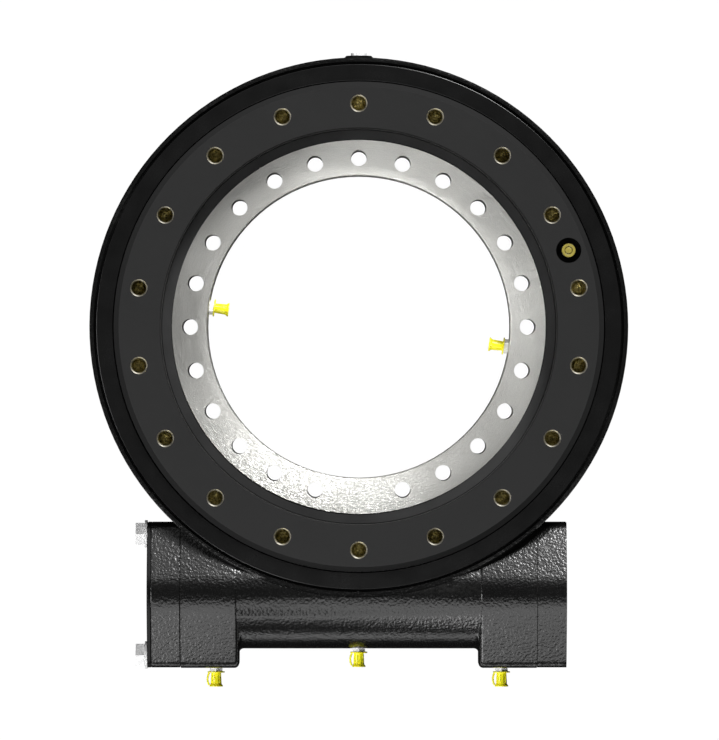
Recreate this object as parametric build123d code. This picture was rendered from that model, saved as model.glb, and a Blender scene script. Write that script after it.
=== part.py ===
from build123d import *
import os
from math import acos, atan, cos, degrees, hypot, pi, radians, sin, tan

# Hydraulic slewing drive, lying on its fixed mounting face.
# Z is the slewing axis and z = 0 the fixed face; the turning face looks up.
# The worm lies along X beside the ring, on the -Y side, with its motor port at -X.
# All sizes are in millimetres.

# Extra length of a cut past the surface that it leaves
OVERRUN = 1.0

# Worm gear pair
MODULE = 5.0
WHEEL_TEETH = 82
PRESSURE_ANGLE = 20.0
WORM_PITCH_RADIUS = 30.0
FLANK_PLAY = 0.3
TIP_CLEARANCE = 1.0
WHEEL_FACE_WIDTH = 44.0
WORM_THREAD_LENGTH = 124.0
THREAD_PHASE = -90.0  # puts a gap opposite the wheel tooth at the middle

# Turning ring: radial steps inwards from the tooth root, and outwards from the tooth tip
TAPPED_CIRCLE_INSET = 4.0
TAPPED_HOLES = 18
TAPPED_HOLE_RADIUS = 6.6
TAPPED_HOLE_DEPTH = 24.0
TAPPED_HOLE_CHAMFER = 1.0
DRILL_POINT_ANGLE = 118.0
RACE_INSET = 27.5
RING_TOP_ABOVE_WORM = 53.0
RING_BOTTOM_GAP = 4.0
RING_FLANGE_STEP = 4.2
RING_EDGE_CHAMFER = 4.4
RING_BORE_CHAMFER = 1.0
RING_NECK_STEP = 1.0
RING_HUB_STEP = 7.0
RING_FLANGE = 22.0

# Ball race between the two rings
BALL_RADIUS = 11.0
BALLS = 32
BALL_FIT = 0.3
RING_GAP = 3.0
RACE_BELOW_WORM = 8.0
CAGE_THICKNESS = 2.2
CAGE_HEIGHT = 27.0

# Fixed ring
FIXED_CIRCLE_INSET = 23.5
FIXED_HOLE_STEP = 15.0
FIXED_HOLE_RADIUS = 7.0
BORE_INSET = 15.0
FIXED_RING_TOP_ABOVE_RACE = 28.0
SEAL_SEAT_DEPTH = 8.0
SEAL_SEAT_INSET = 7.7
BORE_CHAMFER = 0.6
FILLER_PLUG_RADIUS = 11.5
FILLER_ANGLE = 270.0
PLUG_FIT = 0.05
FILLER_PIN_RADIUS = 4.0
FILLER_PIN_INSET = 9.0
RING_SCREWS = 12
RING_SCREW_RADIUS = 4.0
RING_SCREW_HEAD_RADIUS = 6.5
RING_SCREW_HEAD = 5.0
RING_SCREW_SINK = 1.0
RING_SCREW_REACH = 16.0

# Housing
FLOOR = 10.0
REGISTER_DEPTH = 5.0
REGISTER_STEP = 2.0
TROUGH_GAP = 4.8
TROUGH_TO_RECESS = 12.9
RIM = 3.6
RIM_ABOVE_SHELF = 6.0
SHELF_COVER = 3.0
RIM_ROUND = 1.2
FOOT_CHAMFER = 2.0
TUNNEL_GAP = 1.0
TUBE_WALL = 10.0
TUBE_LIFT = 2.5
BLOCK_MARGIN = 10.8  # from the port's bolts to the block's sides
BLOCK_STEP = 0.5
BLOCK_SLOPE = 22.0
BLOCK_CORNER = 10.0
BLOCK_EDGE_ROUND = 4.0
BLOCK_ROOT_ROUND = 4.0
BLOCK_START = 105.0
BLOCK_LENGTH = 51.0
BLOCK_NIPPLE_INSET = 20.4
BOSS_RADIUS = 11.0
BOSS_HEIGHT = 2.8

# Worm shaft and its tapered roller bearings
BEARING_COVER = 2.5
BEARING_SECTION = 15.0  # radial height from the shaft's seat to the cup's seat
BEARING_WIDTH = 20.0
CONE_WIDTH = 19.5
CUP_WIDTH = 15.5
ROLLERS = 18
ROLLER_LENGTH = 13.0
ROLLER_TILT = 12.7
ROLLER_SHARE = 0.3  # roller radius in the bearing's section
ROLLER_FIT = 0.08
ROLLER_INSET = 10.2
CAGE_WALL = 1.4
CAGE_OFFSET = 1.0
CONE_RIB = 2.4
CONE_RIB_HEIGHT = 2.2
CONE_SMALL_RIB_HEIGHT = 1.0
SHAFT_SHOULDER = 4.5
SHAFT_CHAMFER = 1.0
SPIGOT = 8.0
JOURNAL_STEP = 2.5
MOTOR_BORE_RADIUS = 12.5
MOTOR_BORE_DEPTH = 48.0
KEYWAY_WIDTH = 8.0
KEYWAY_HEIGHT = 3.3
SHAFT_END_INSET = 11.0

# End covers
GASKET = 0.5
END_PLATE = 25.5
END_PLATE_INSET = 0.4
GASKET_INSET = 1.4
END_RELIEF = 0.6
PILOT_RADIUS = 41.3
PILOT_DEPTH = 7.0
SHAFT_SEAL_SECTION = 11.0
SHAFT_SEAL_WIDTH = 8.0
SEAL_SPACE = 1.0
SHAFT_LIP_STEP = 2.0
END_SCREW_INSET = 17.0
END_SCREW_Z = 22.0
END_SCREW_RADIUS = 5.0
END_SCREW_HEAD_RADIUS = 8.0
END_SCREW_HEAD = 10.0
END_SCREW_SOCKET = 4.6
END_SCREW_REACH = 18.0
END_SCREW_SINK = 1.0
HEAD_FIT = 0.5
SCREW_FIT = 0.1
COVER_PLATE = 3.5
PORT_BOLT_SPACING = 106.4
PORT_BOLT_RADIUS = 6.0
PORT_BOLT_REACH = 16.0
PORT_HEX = 19.0
PORT_HEAD = 8.0
PORT_CROWN = 0.95  # top of the head's cone in the width across flats
WASHER_RADIUS = 12.0
WASHER = 2.5
PORT_HOLE_RADIUS = 6.75

# Seals; lip shares are heights in the seal's height
LIP_GAP = 0.3
OUTER_SEAL_GAP = 1.0
OUTER_SEAL_WIDTH = 14.2
OUTER_SEAL_HEIGHT = 7.6
SEAL_BEAD = 1.0
OUTER_LIP_SHARES = (0.7, 0.45, 0.3)
SEAL_SET = 0.05
INNER_SEAL_HEIGHT = 7.2
INNER_LIP_SHARES = (0.4, 0.85)

# Grease nipples with caps, and the slotted relief plug
NIPPLE_RADIUS = 5.0
NIPPLE_REACH = 7.0
NIPPLE_HEX = 11.0
NIPPLE_HEX_HEIGHT = 3.6
NIPPLE_HEAD_RADIUS = 3.25
NIPPLE_HEIGHT = 10.8
NIPPLE_NECK_STEP = 0.8
NIPPLE_NECK_SLOPE = 1.2
NIPPLE_NECK_SHARE = 0.5
NIPPLE_HEAD_SHARES = (0.6, 0.8)
CAP_FIT = 0.2
CAP_RING_RADIUS = 7.5
CAP_RING = 1.2
CAP_NECK_RADIUS = 3.95
CAP_WAIST_RADIUS = 4.5
CAP_FLANGE_RADIUS = 6.05
CAP_FLANGE = 1.8
CAP_HEIGHT = 17.0
STRAP_REACH = 8.4
STRAP = 1.7
STRAP_WIDTH = 3.0
GREASE_WAY_RADIUS = 2.0
BORE_NIPPLE_ANGLES = (172.5, 352.5)
FACE_NIPPLE_ANGLE = 20.0
FACE_RECESS_RADIUS = 11.0
FACE_RECESS_DEPTH = 20.0
SPOT_FACE_RADIUS = 8.0
PLUG_HEAD_RADIUS = 6.9
PLUG_HEAD = 2.5
PLUG_SLOT = 2.1
PLUG_SLOT_FLOOR = 0.5
PLUG_SLOTS_X = (-3.3, 1.65)

# Gear pair, worked out
wheel_pitch_radius = MODULE * WHEEL_TEETH / 2
tip_radius = wheel_pitch_radius + MODULE
root_radius = wheel_pitch_radius - MODULE - TIP_CLEARANCE
worm_tip_radius = WORM_PITCH_RADIUS + MODULE
worm_root_radius = WORM_PITCH_RADIUS - MODULE - TIP_CLEARANCE
worm_pitch = pi * MODULE
half_tooth = worm_pitch / 4 - FLANK_PLAY / 2
lead_slope = worm_pitch / (2 * pi * WORM_PITCH_RADIUS)

# Worm housing, worked out
tunnel_radius = worm_tip_radius + TUNNEL_GAP
cup_radius = worm_tip_radius + BEARING_COVER
tube_radius = cup_radius + TUBE_WALL
worm_y = -(wheel_pitch_radius + WORM_PITCH_RADIUS)
worm_z = tube_radius + TUBE_LIFT
worm_axis = Axis((0, worm_y, worm_z), (1, 0, 0))
block_end = BLOCK_START + BLOCK_LENGTH
block_nipple_x = BLOCK_START + BLOCK_NIPPLE_INSET
block_half_width = PORT_BOLT_SPACING / 2 + BLOCK_MARGIN
end_screw_y = block_half_width - END_SCREW_INSET
plate_start = block_end + GASKET
plate_end = plate_start + END_PLATE
cup_back = plate_start - SPIGOT - GASKET
cone_back = cup_back - BEARING_WIDTH
seat_depth = block_end - cone_back + 2 * TUNNEL_GAP
shaft_motor_end = -(plate_end - SHAFT_END_INSET)

# Bearings and shaft, worked out
shaft_seat_radius = cup_radius - BEARING_SECTION
shoulder_radius = shaft_seat_radius + SHAFT_SHOULDER
journal_radius = shaft_seat_radius - JOURNAL_STEP
shaft_seal_radius = journal_radius + SHAFT_SEAL_SECTION
roller_circle = cup_radius - BEARING_SECTION / 2
roller_distance = roller_circle / sin(radians(ROLLER_TILT))
roller_taper = degrees(atan(BEARING_SECTION * ROLLER_SHARE / roller_distance))

# Rings, worked out
tapped_circle = root_radius - TAPPED_CIRCLE_INSET
race_radius = root_radius - RACE_INSET
race_z = worm_z - RACE_BELOW_WORM
groove_radius = BALL_RADIUS + BALL_FIT
ring_bore = race_radius + RING_GAP / 2
flange_radius = tip_radius + RING_FLANGE_STEP
ring_top = worm_z + RING_TOP_ABOVE_WORM
ring_bottom = FLOOR + RING_BOTTOM_GAP
flange_under = ring_top - RING_FLANGE
wheel_low = worm_z - WHEEL_FACE_WIDTH / 2
wheel_high = worm_z + WHEEL_FACE_WIDTH / 2
fixed_outer = race_radius - RING_GAP / 2
fixed_circle = race_radius - FIXED_CIRCLE_INSET
bore_radius = fixed_circle - BORE_INSET
fixed_top = race_z + FIXED_RING_TOP_ABOVE_RACE
seal_seat_radius = race_radius - SEAL_SEAT_INSET
seal_seat_z = fixed_top - SEAL_SEAT_DEPTH

# Trough, worked out
trough_radius = flange_radius + TROUGH_GAP
recess_radius = trough_radius + TROUGH_TO_RECESS
rim_radius = recess_radius + RIM
shelf_z = worm_z + tunnel_radius + SHELF_COVER
rim_z = shelf_z + RIM_ABOVE_SHELF


def turned(points):
    """Solid turned about Z from its (radius, height) corners."""
    outline = Polyline([(radius, 0, height) for radius, height in points], close=True)
    return revolve(make_face(outline), Axis.Z)


def turned_on_worm(points):
    """Solid turned about the worm's axis from its (x, radius) corners."""
    outline = Polyline([(x, worm_y + radius, worm_z) for x, radius in points], close=True)
    return revolve(make_face(outline), worm_axis)


def rod(start, direction, radius, length):
    """Round rod, or the space of a drilled hole, from a point along a direction."""
    return extrude(Plane(origin=start, z_dir=direction) * Circle(radius), length)


def round_axis(shape, angles):
    """Copies of a shape turned about Z to each angle."""
    return [shape.rotate(Axis.Z, angle) for angle in angles]


def even_angles(count, first=0.0):
    """Angles of an even pattern."""
    return [first + 360.0 * index / count for index in range(count)]


def hex_prism(across_flats, height):
    """Upright hexagon bar on z = 0."""
    return extrude(RegularPolygon(across_flats / 2, 6, major_radius=False), height)


def seat(origin, outwards, side=(1, 0, 0)):
    """Place whose local z looks outwards from a surface and whose local x lies along side."""
    return Plane(origin=origin, x_dir=side, z_dir=outwards).location


# Angles of the patterns
tapped_angles = even_angles(TAPPED_HOLES, 90.0)
fixed_angles = [
    angle
    for angle in even_angles(round(360.0 / FIXED_HOLE_STEP), FIXED_HOLE_STEP)
    if abs(angle - FILLER_ANGLE) > 1.0
]
ring_screw_angles = even_angles(RING_SCREWS, FIXED_HOLE_STEP / 2)


def end_outline(inset=0.0):
    """Section of an end block about the worm's axis: a round middle with sloping wings."""
    radius = tube_radius + BLOCK_STEP - inset
    half_width = block_half_width - inset
    slope = radians(BLOCK_SLOPE)
    wing = radius / cos(slope) - half_width * tan(slope)
    touch = (radius * sin(slope), radius * cos(slope))
    corners = [
        (half_width, -wing),
        (half_width, wing),
        touch,
        (-touch[0], touch[1]),
        (-half_width, wing),
        (-half_width, -wing),
        (-touch[0], -touch[1]),
        (touch[0], -touch[1]),
    ]
    wings = make_face(Polyline(corners, close=True))
    outer = [corner for corner in wings.vertices() if abs(corner.X) > half_width - 1.0]
    return fillet(outer, BLOCK_CORNER) + Circle(radius)


def end_slab(start, thickness, inset=0.0):
    """Slab with the end block's outline, from x = start along +X, or -X if thickness is negative."""
    place = Plane(origin=(start, worm_y, worm_z), x_dir=(0, 1, 0), z_dir=(1, 0, 0))
    return extrude(place * end_outline(inset), thickness)


def end_screw_points():
    """The four (y, z) places of the screws that hold an end cover."""
    return [
        (worm_y + side_y * end_screw_y, worm_z + side_z * END_SCREW_Z)
        for side_y in (-1, 1)
        for side_z in (-1, 1)
    ]


def end_holes(side, start, depth, radius):
    """Four screw holes from |x| = start inwards, at the motor end (-1) or the far end (1)."""
    return [
        rod((side * start, y, z), (-side, 0, 0), radius, depth)
        for y, z in end_screw_points()
    ]


def port_bolt_points():
    """The two y places of the motor port's bolts."""
    return (worm_y - PORT_BOLT_SPACING / 2, worm_y + PORT_BOLT_SPACING / 2)


# Places of the grease nipples: a point on the surface, the way out, and the strap's side
worm_nipple_places = [
    seat((x, worm_y - depth, worm_z), (0, -1, 0))
    for x, depth in (
        (-block_nipple_x, block_half_width),
        (0.0, tube_radius - NIPPLE_HEX_HEIGHT / 5),
        (block_nipple_x, block_half_width),
    )
]
bore_nipple_places = [
    seat(
        ((bore_radius - BORE_CHAMFER) * cos(radians(angle)),
         (bore_radius - BORE_CHAMFER) * sin(radians(angle)), race_z),
        (-cos(radians(angle)), -sin(radians(angle)), 0),
        (0, 0, -1),
    )
    for angle in BORE_NIPPLE_ANGLES
]
face_nipple_place = seat(
    (tapped_circle * cos(radians(FACE_NIPPLE_ANGLE)),
     tapped_circle * sin(radians(FACE_NIPPLE_ANGLE)), ring_top - FACE_RECESS_DEPTH),
    (0, 0, 1),
)
relief_plug_place = seat((0, rim_radius + BOSS_HEIGHT, worm_z), (0, 1, 0))


def nipple_port(way_length):
    """Tapped hole under a nipple with the grease way behind it."""
    tapped = rod((0, 0, 0), (0, 0, -1), NIPPLE_RADIUS + SCREW_FIT, NIPPLE_REACH + OVERRUN)
    return tapped + rod((0, 0, 0), (0, 0, -1), GREASE_WAY_RADIUS, way_length)


def block_root(side):
    """Hollow round between the worm tube and the inner face of an end block."""
    start = side * (BLOCK_START - BLOCK_ROOT_ROUND)
    face = side * BLOCK_START
    foot = worm_y + tube_radius
    top = foot + BLOCK_ROOT_ROUND
    bend = BLOCK_ROOT_ROUND * (1 - sin(pi / 4))
    hollow = ThreePointArc(
        (start, foot, worm_z),
        (face - side * bend, foot + bend, worm_z),
        (face, top, worm_z),
    )
    inside = foot - TUBE_WALL / 2
    rest = Polyline((face, top, worm_z), (face, inside, worm_z), (start, inside, worm_z),
                    (start, foot, worm_z))
    root = revolve(make_face(hollow + rest), worm_axis)
    return root & end_slab(start, side * BLOCK_ROOT_ROUND, BLOCK_EDGE_ROUND)


def make_housing():
    """Cast housing: ring trough, worm tunnel and two end blocks."""
    body = turned([
        (bore_radius, 0),
        (rim_radius - FOOT_CHAMFER, 0),
        (rim_radius, FOOT_CHAMFER),
        (rim_radius, rim_z - RIM_ROUND),
        (rim_radius - RIM_ROUND, rim_z),
        (bore_radius, rim_z),
    ])
    body += rod((-block_end, worm_y, worm_z), (1, 0, 0), tube_radius, 2 * block_end)
    for side in (-1, 1):
        block = end_slab(side * BLOCK_START, side * BLOCK_LENGTH)
        inner_face = block.faces().sort_by(Axis.X)[-1 if side < 0 else 0]
        body += fillet(inner_face.edges(), BLOCK_EDGE_ROUND)
        body += block_root(side)
    above = rim_z + 2 * tube_radius
    top = rim_radius + RIM_ROUND
    body -= turned([(0, FLOOR), (trough_radius, FLOOR), (trough_radius, above), (0, above)])
    body -= turned([(0, shelf_z), (recess_radius, shelf_z), (recess_radius, above), (0, above)])
    body -= turned([(0, rim_z), (top, rim_z), (top, above), (0, above)])
    body -= turned([
        (0, -FLOOR),
        (bore_radius + REGISTER_STEP, -FLOOR),
        (bore_radius + REGISTER_STEP, REGISTER_DEPTH),
        (0, REGISTER_DEPTH),
    ])
    boss = Cone(BOSS_RADIUS + BOSS_HEIGHT + TUBE_LIFT, BOSS_RADIUS,
                BOSS_HEIGHT + TUBE_LIFT, align=(Align.CENTER, Align.CENTER, Align.MAX))
    body += relief_plug_place * boss
    body -= rod((-plate_end, worm_y, worm_z), (1, 0, 0), tunnel_radius, 2 * plate_end)
    for side in (-1, 1):
        body -= rod((side * plate_end, worm_y, worm_z), (-side, 0, 0), cup_radius,
                    plate_end - block_end + seat_depth)
        body -= end_holes(side, block_end, END_SCREW_REACH + OVERRUN, END_SCREW_RADIUS + SCREW_FIT)
        body -= end_slab(side * block_end, side * BLOCK_LENGTH, -END_RELIEF)
    below = (fixed_circle, 0, -OVERRUN)
    floor_hole = rod(below, (0, 0, 1), FIXED_HOLE_RADIUS, FLOOR + 2 * OVERRUN)
    body -= round_axis(floor_hole, fixed_angles)
    screw_hole = rod(below, (0, 0, 1), RING_SCREW_RADIUS + SCREW_FIT, FLOOR + 2 * OVERRUN)
    head_hole = rod(below, (0, 0, 1), RING_SCREW_HEAD_RADIUS + SCREW_FIT,
                    RING_SCREW_HEAD + RING_SCREW_SINK + OVERRUN)
    body -= round_axis(screw_hole + head_hole, ring_screw_angles)
    middle_spot = rod((0, 0, 0), (0, 0, 1), SPOT_FACE_RADIUS, 2 * TUBE_LIFT)
    body -= worm_nipple_places[1] * middle_spot
    for place in worm_nipple_places:
        body -= place * nipple_port(block_half_width - worm_root_radius)
    body -= relief_plug_place * rod((0, 0, 0), (0, 0, -1), NIPPLE_RADIUS + SCREW_FIT,
                                    rim_radius - trough_radius + 2 * BOSS_HEIGHT)
    return body


def race_groove():
    """Round groove space for the balls, shared by both rings."""
    section = Plane.XZ * Pos(race_radius, race_z) * Circle(groove_radius)
    return revolve(section, Axis.Z)


def make_fixed_ring():
    """Fixed inner ring with through holes, ball groove, filler hole and nipple ports."""
    body = turned([
        (bore_radius + BORE_CHAMFER, FLOOR),
        (fixed_outer, FLOOR),
        (fixed_outer, seal_seat_z),
        (seal_seat_radius, seal_seat_z),
        (seal_seat_radius, fixed_top),
        (bore_radius + BORE_CHAMFER, fixed_top),
        (bore_radius, fixed_top - BORE_CHAMFER),
        (bore_radius, FLOOR + BORE_CHAMFER),
    ])
    body -= race_groove()
    hole = rod((fixed_circle, 0, 0), (0, 0, 1), FIXED_HOLE_RADIUS, fixed_top + OVERRUN)
    body -= round_axis(hole, fixed_angles)
    screw_hole = rod((fixed_circle, 0, 0), (0, 0, 1), RING_SCREW_RADIUS + SCREW_FIT,
                     FLOOR + RING_SCREW_REACH + OVERRUN)
    body -= round_axis(screw_hole, ring_screw_angles)
    body -= filler_space(FILLER_PLUG_RADIUS + PLUG_FIT)
    body -= filler_pin_space(FILLER_PIN_RADIUS + PLUG_FIT)
    for place in bore_nipple_places:
        body -= place * nipple_port(race_radius - bore_radius)
    return body


def filler_space(radius):
    """Radial bar through the fixed ring's wall at the ball plane."""
    bar = rod((0, 0, race_z), (1, 0, 0), radius, fixed_outer + BALL_RADIUS)
    shell = turned([
        (bore_radius, FLOOR),
        (fixed_outer, FLOOR),
        (fixed_outer, fixed_top),
        (bore_radius, fixed_top),
    ])
    return bar.rotate(Axis.Z, FILLER_ANGLE) & shell


def filler_pin_space(radius):
    """Upright bar through the filler plug from the ring's underside."""
    middle = bore_radius + FILLER_PIN_INSET
    height = race_z + FILLER_PLUG_RADIUS + 2 * OVERRUN - FLOOR
    pin = rod((middle, 0, FLOOR), (0, 0, 1), radius, height)
    return pin.rotate(Axis.Z, FILLER_ANGLE)


def make_filler_plug():
    """Plug that closes the ball filling hole."""
    body = filler_space(FILLER_PLUG_RADIUS) - race_groove()
    return body - filler_pin_space(FILLER_PIN_RADIUS + PLUG_FIT)


def make_filler_pin():
    """Pin that locks the filler plug."""
    return filler_pin_space(FILLER_PIN_RADIUS)


def make_ring_screws():
    """Low-head screws that hold the fixed ring down to the housing floor."""
    seat_z = RING_SCREW_SINK + RING_SCREW_HEAD
    shank_length = FLOOR + RING_SCREW_REACH - seat_z
    foot = (fixed_circle, 0, RING_SCREW_SINK)
    head = rod(foot, (0, 0, 1), RING_SCREW_HEAD_RADIUS, RING_SCREW_HEAD)
    shank = rod((fixed_circle, 0, seat_z), (0, 0, 1), RING_SCREW_RADIUS, shank_length)
    socket = Pos(*foot) * hex_prism(RING_SCREW_RADIUS, RING_SCREW_HEAD / 2)
    return round_axis(head + shank - socket, ring_screw_angles)


def tooth_half_angle(radius):
    """Half the angle that an involute wheel tooth fills at a radius."""
    def involute(angle):
        return tan(angle) - angle

    pressure = radians(PRESSURE_ANGLE)
    local = acos(wheel_pitch_radius * cos(pressure) / radius)
    return half_tooth / wheel_pitch_radius + involute(pressure) - involute(local)


def tooth_space():
    """Slanted bar that cuts one space between teeth, centred on the -Y side."""
    half_step = pi / WHEEL_TEETH
    flank = []
    for radius in (root_radius, wheel_pitch_radius, tip_radius, tip_radius + MODULE / 2):
        angle = half_step - tooth_half_angle(radius)
        flank.append((radius * sin(angle), -radius * cos(angle)))
    height = WHEEL_FACE_WIDTH + RING_NECK_STEP
    start = wheel_low - RING_NECK_STEP / 2
    shift = lead_slope * (start - worm_z)
    right = [(x + shift, y, start) for x, y in flank]
    left = [(-x + shift, y, start) for x, y in reversed(flank)]
    section = make_face(Polyline(right + left, close=True))
    return extrude(section, height * hypot(1, lead_slope), dir=(lead_slope, 0, 1))


def tapped_hole():
    """Blind tapped hole with a chamfered mouth and a drill point, on the +X side."""
    point = TAPPED_HOLE_RADIUS / tan(radians(DRILL_POINT_ANGLE / 2))
    mouth = TAPPED_HOLE_RADIUS + TAPPED_HOLE_CHAMFER
    hole = turned([
        (0, ring_top + OVERRUN),
        (mouth + OVERRUN, ring_top + OVERRUN),
        (TAPPED_HOLE_RADIUS, ring_top - TAPPED_HOLE_CHAMFER),
        (TAPPED_HOLE_RADIUS, ring_top - TAPPED_HOLE_DEPTH),
        (0, ring_top - TAPPED_HOLE_DEPTH - point),
    ])
    return Pos(tapped_circle, 0, 0) * hole


def make_toothed_ring():
    """Turning outer ring with the worm wheel's teeth and the tapped face."""
    neck = root_radius - RING_NECK_STEP
    hub = root_radius + RING_HUB_STEP
    hub_start = wheel_high + RING_NECK_STEP
    body = turned([
        (ring_bore, ring_bottom),
        (neck, ring_bottom),
        (neck, wheel_low),
        (tip_radius, wheel_low),
        (tip_radius, wheel_high),
        (neck, wheel_high),
        (neck, hub_start),
        (hub, hub_start + RING_HUB_STEP / 3),
        (hub, flange_under),
        (flange_radius, flange_under),
        (flange_radius, ring_top - RING_EDGE_CHAMFER),
        (flange_radius - RING_EDGE_CHAMFER, ring_top),
        (ring_bore + RING_BORE_CHAMFER, ring_top),
        (ring_bore, ring_top - RING_BORE_CHAMFER),
    ])
    body -= race_groove()
    step = 360.0 / WHEEL_TEETH
    body -= round_axis(tooth_space(), even_angles(WHEEL_TEETH, step / 2))
    body -= round_axis(tapped_hole(), tapped_angles)
    recess = rod((0, 0, 0), (0, 0, 1), FACE_RECESS_RADIUS, FACE_RECESS_DEPTH + OVERRUN)
    body -= face_nipple_place * recess
    body -= face_nipple_place * nipple_port(NIPPLE_REACH + 2 * OVERRUN)
    way_start = Vector(tapped_circle, 0, ring_top - FACE_RECESS_DEPTH - NIPPLE_REACH)
    way = Vector(race_radius + BALL_RADIUS / 2, 0, race_z) - way_start
    body -= rod(way_start, way, GREASE_WAY_RADIUS, way.length).rotate(Axis.Z, FACE_NIPPLE_ANGLE)
    return body


def make_balls():
    """Ball set of the slewing ring."""
    ball = Pos(race_radius, 0, race_z) * Sphere(BALL_RADIUS)
    return round_axis(ball, even_angles(BALLS))


def make_ball_cage():
    """Strip cage that spaces the balls."""
    half = CAGE_THICKNESS / 2
    body = turned([
        (race_radius - half, race_z - CAGE_HEIGHT / 2),
        (race_radius + half, race_z - CAGE_HEIGHT / 2),
        (race_radius + half, race_z + CAGE_HEIGHT / 2),
        (race_radius - half, race_z + CAGE_HEIGHT / 2),
    ])
    pocket = rod((race_radius - BALL_RADIUS, 0, race_z), (1, 0, 0), groove_radius, 2 * BALL_RADIUS)
    return body - round_axis(pocket, even_angles(BALLS))


def make_outer_seal():
    """Rubber ring on the housing's shelf whose lip runs on the turning ring."""
    inner = flange_radius + OUTER_SEAL_GAP
    outer = inner + OUTER_SEAL_WIDTH
    base = shelf_z + SEAL_SET
    lip = flange_radius + LIP_GAP
    foot = trough_radius + LIP_GAP
    root, high, low = [base + OUTER_SEAL_HEIGHT * share for share in OUTER_LIP_SHARES]
    return turned([
        (foot, base),
        (outer, base),
        (outer, base + OUTER_SEAL_HEIGHT),
        (inner, base + OUTER_SEAL_HEIGHT + SEAL_BEAD),
        (inner, root),
        (lip, high),
        (lip, low),
    ])


def make_inner_seal():
    """Rubber ring on the fixed ring's seat whose lip runs in the turning ring's bore."""
    inner = seal_seat_radius + SEAL_SET
    lip = ring_bore - LIP_GAP
    base = seal_seat_z + SEAL_SET
    root, low = [base + INNER_SEAL_HEIGHT * share for share in INNER_LIP_SHARES]
    return turned([
        (inner, base),
        (fixed_outer - LIP_GAP, base),
        (fixed_outer, root),
        (lip, low),
        (lip, base + INNER_SEAL_HEIGHT),
        (inner, base + INNER_SEAL_HEIGHT),
    ])


def worm_thread():
    """Right-hand thread ridge about Z, made longer than the worm and trimmed to its ends."""
    reach = worm_tip_radius + SCREW_FIT
    foot = worm_root_radius - TIP_CLEARANCE
    slope = tan(radians(PRESSURE_ANGLE))
    half_tip = half_tooth - MODULE * slope
    half_foot = half_tooth + (WORM_PITCH_RADIUS - foot) * slope
    turns = round(WORM_THREAD_LENGTH / worm_pitch) + 2
    length = turns * worm_pitch

    def edge(radius, shift):
        return Pos(0, 0, shift) * Helix(worm_pitch, length, radius)

    inner_low = edge(foot, -half_foot)
    outer_low = edge(worm_tip_radius, -half_tip)
    outer_high = edge(worm_tip_radius, half_tip)
    inner_high = edge(foot, half_foot)
    rails = [inner_low, outer_low, outer_high, inner_high]
    sides = [Face.make_surface_from_curves(rails[index], rails[(index + 1) % 4]) for index in range(4)]
    caps = []
    for end in (0, 1):
        corners = [rail @ end for rail in rails]
        caps.append(make_face(Polyline(corners, close=True)).faces()[0])
    ridge = Solid(Shell(sides + caps))
    upright = Pos(0, 0, -length / 2) * ridge
    trim = Cylinder(reach + OVERRUN, WORM_THREAD_LENGTH)
    return upright & trim


def make_worm():
    """Worm shaft: thread, bearing seats, and the keyed bore for the motor's shaft."""
    thread_end = WORM_THREAD_LENGTH / 2
    far_end = cup_back + TUNNEL_GAP
    shaft = turned_on_worm([
        (shaft_motor_end, 0),
        (shaft_motor_end, journal_radius),
        (-cup_back, journal_radius),
        (-cup_back, shaft_seat_radius),
        (-cone_back, shaft_seat_radius),
        (-cone_back, shoulder_radius),
        (-thread_end - MODULE, shoulder_radius),
        (-thread_end, worm_root_radius),
        (thread_end, worm_root_radius),
        (thread_end + MODULE, shoulder_radius),
        (cone_back, shoulder_radius),
        (cone_back, shaft_seat_radius),
        (far_end - SHAFT_CHAMFER, shaft_seat_radius),
        (far_end, shaft_seat_radius - SHAFT_CHAMFER),
        (far_end, 0),
    ])
    along = Location((0, worm_y, worm_z), (0, 90, 0))
    shaft = (shaft + along * worm_thread()).rotate(worm_axis, THREAD_PHASE)
    mouth = (shaft_motor_end, worm_y, worm_z)
    shaft -= rod(mouth, (1, 0, 0), MOTOR_BORE_RADIUS, MOTOR_BORE_DEPTH)
    keyway = Box(MOTOR_BORE_DEPTH, KEYWAY_WIDTH, MOTOR_BORE_RADIUS + KEYWAY_HEIGHT,
                 align=(Align.MIN, Align.CENTER, Align.MIN))
    return shaft - Pos(*mouth) * keyway


def taper_radius(x, half_angle):
    """Radius at |x| of a cone about the worm's axis, with its apex outside the bearing."""
    middle = cone_back + ROLLER_INSET
    apex = middle + roller_circle / tan(radians(ROLLER_TILT))
    return (apex - x) * tan(radians(half_angle))


def make_bearing_cup(side):
    """Outer ring of a worm bearing."""
    front = cup_back - CUP_WIDTH
    angle = ROLLER_TILT + roller_taper
    return turned_on_worm([
        (side * cup_back, cup_radius),
        (side * front, cup_radius),
        (side * front, taper_radius(front, angle) + ROLLER_FIT),
        (side * cup_back, taper_radius(cup_back, angle) + ROLLER_FIT),
    ])


def make_bearing_cone(side):
    """Inner ring of a worm bearing, with its ribs."""
    end = cone_back + CONE_WIDTH
    angle = ROLLER_TILT - roller_taper
    rib_face = cone_back + CONE_RIB
    small_rib = end - CONE_RIB
    low = taper_radius(rib_face, angle) - ROLLER_FIT
    high = taper_radius(small_rib, angle) - ROLLER_FIT
    return turned_on_worm([
        (side * cone_back, shaft_seat_radius),
        (side * cone_back, low + CONE_RIB_HEIGHT),
        (side * rib_face, low + CONE_RIB_HEIGHT),
        (side * rib_face, low),
        (side * small_rib, high),
        (side * small_rib, high + CONE_SMALL_RIB_HEIGHT),
        (side * end, high + CONE_SMALL_RIB_HEIGHT),
        (side * end, shaft_seat_radius),
    ])


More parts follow.
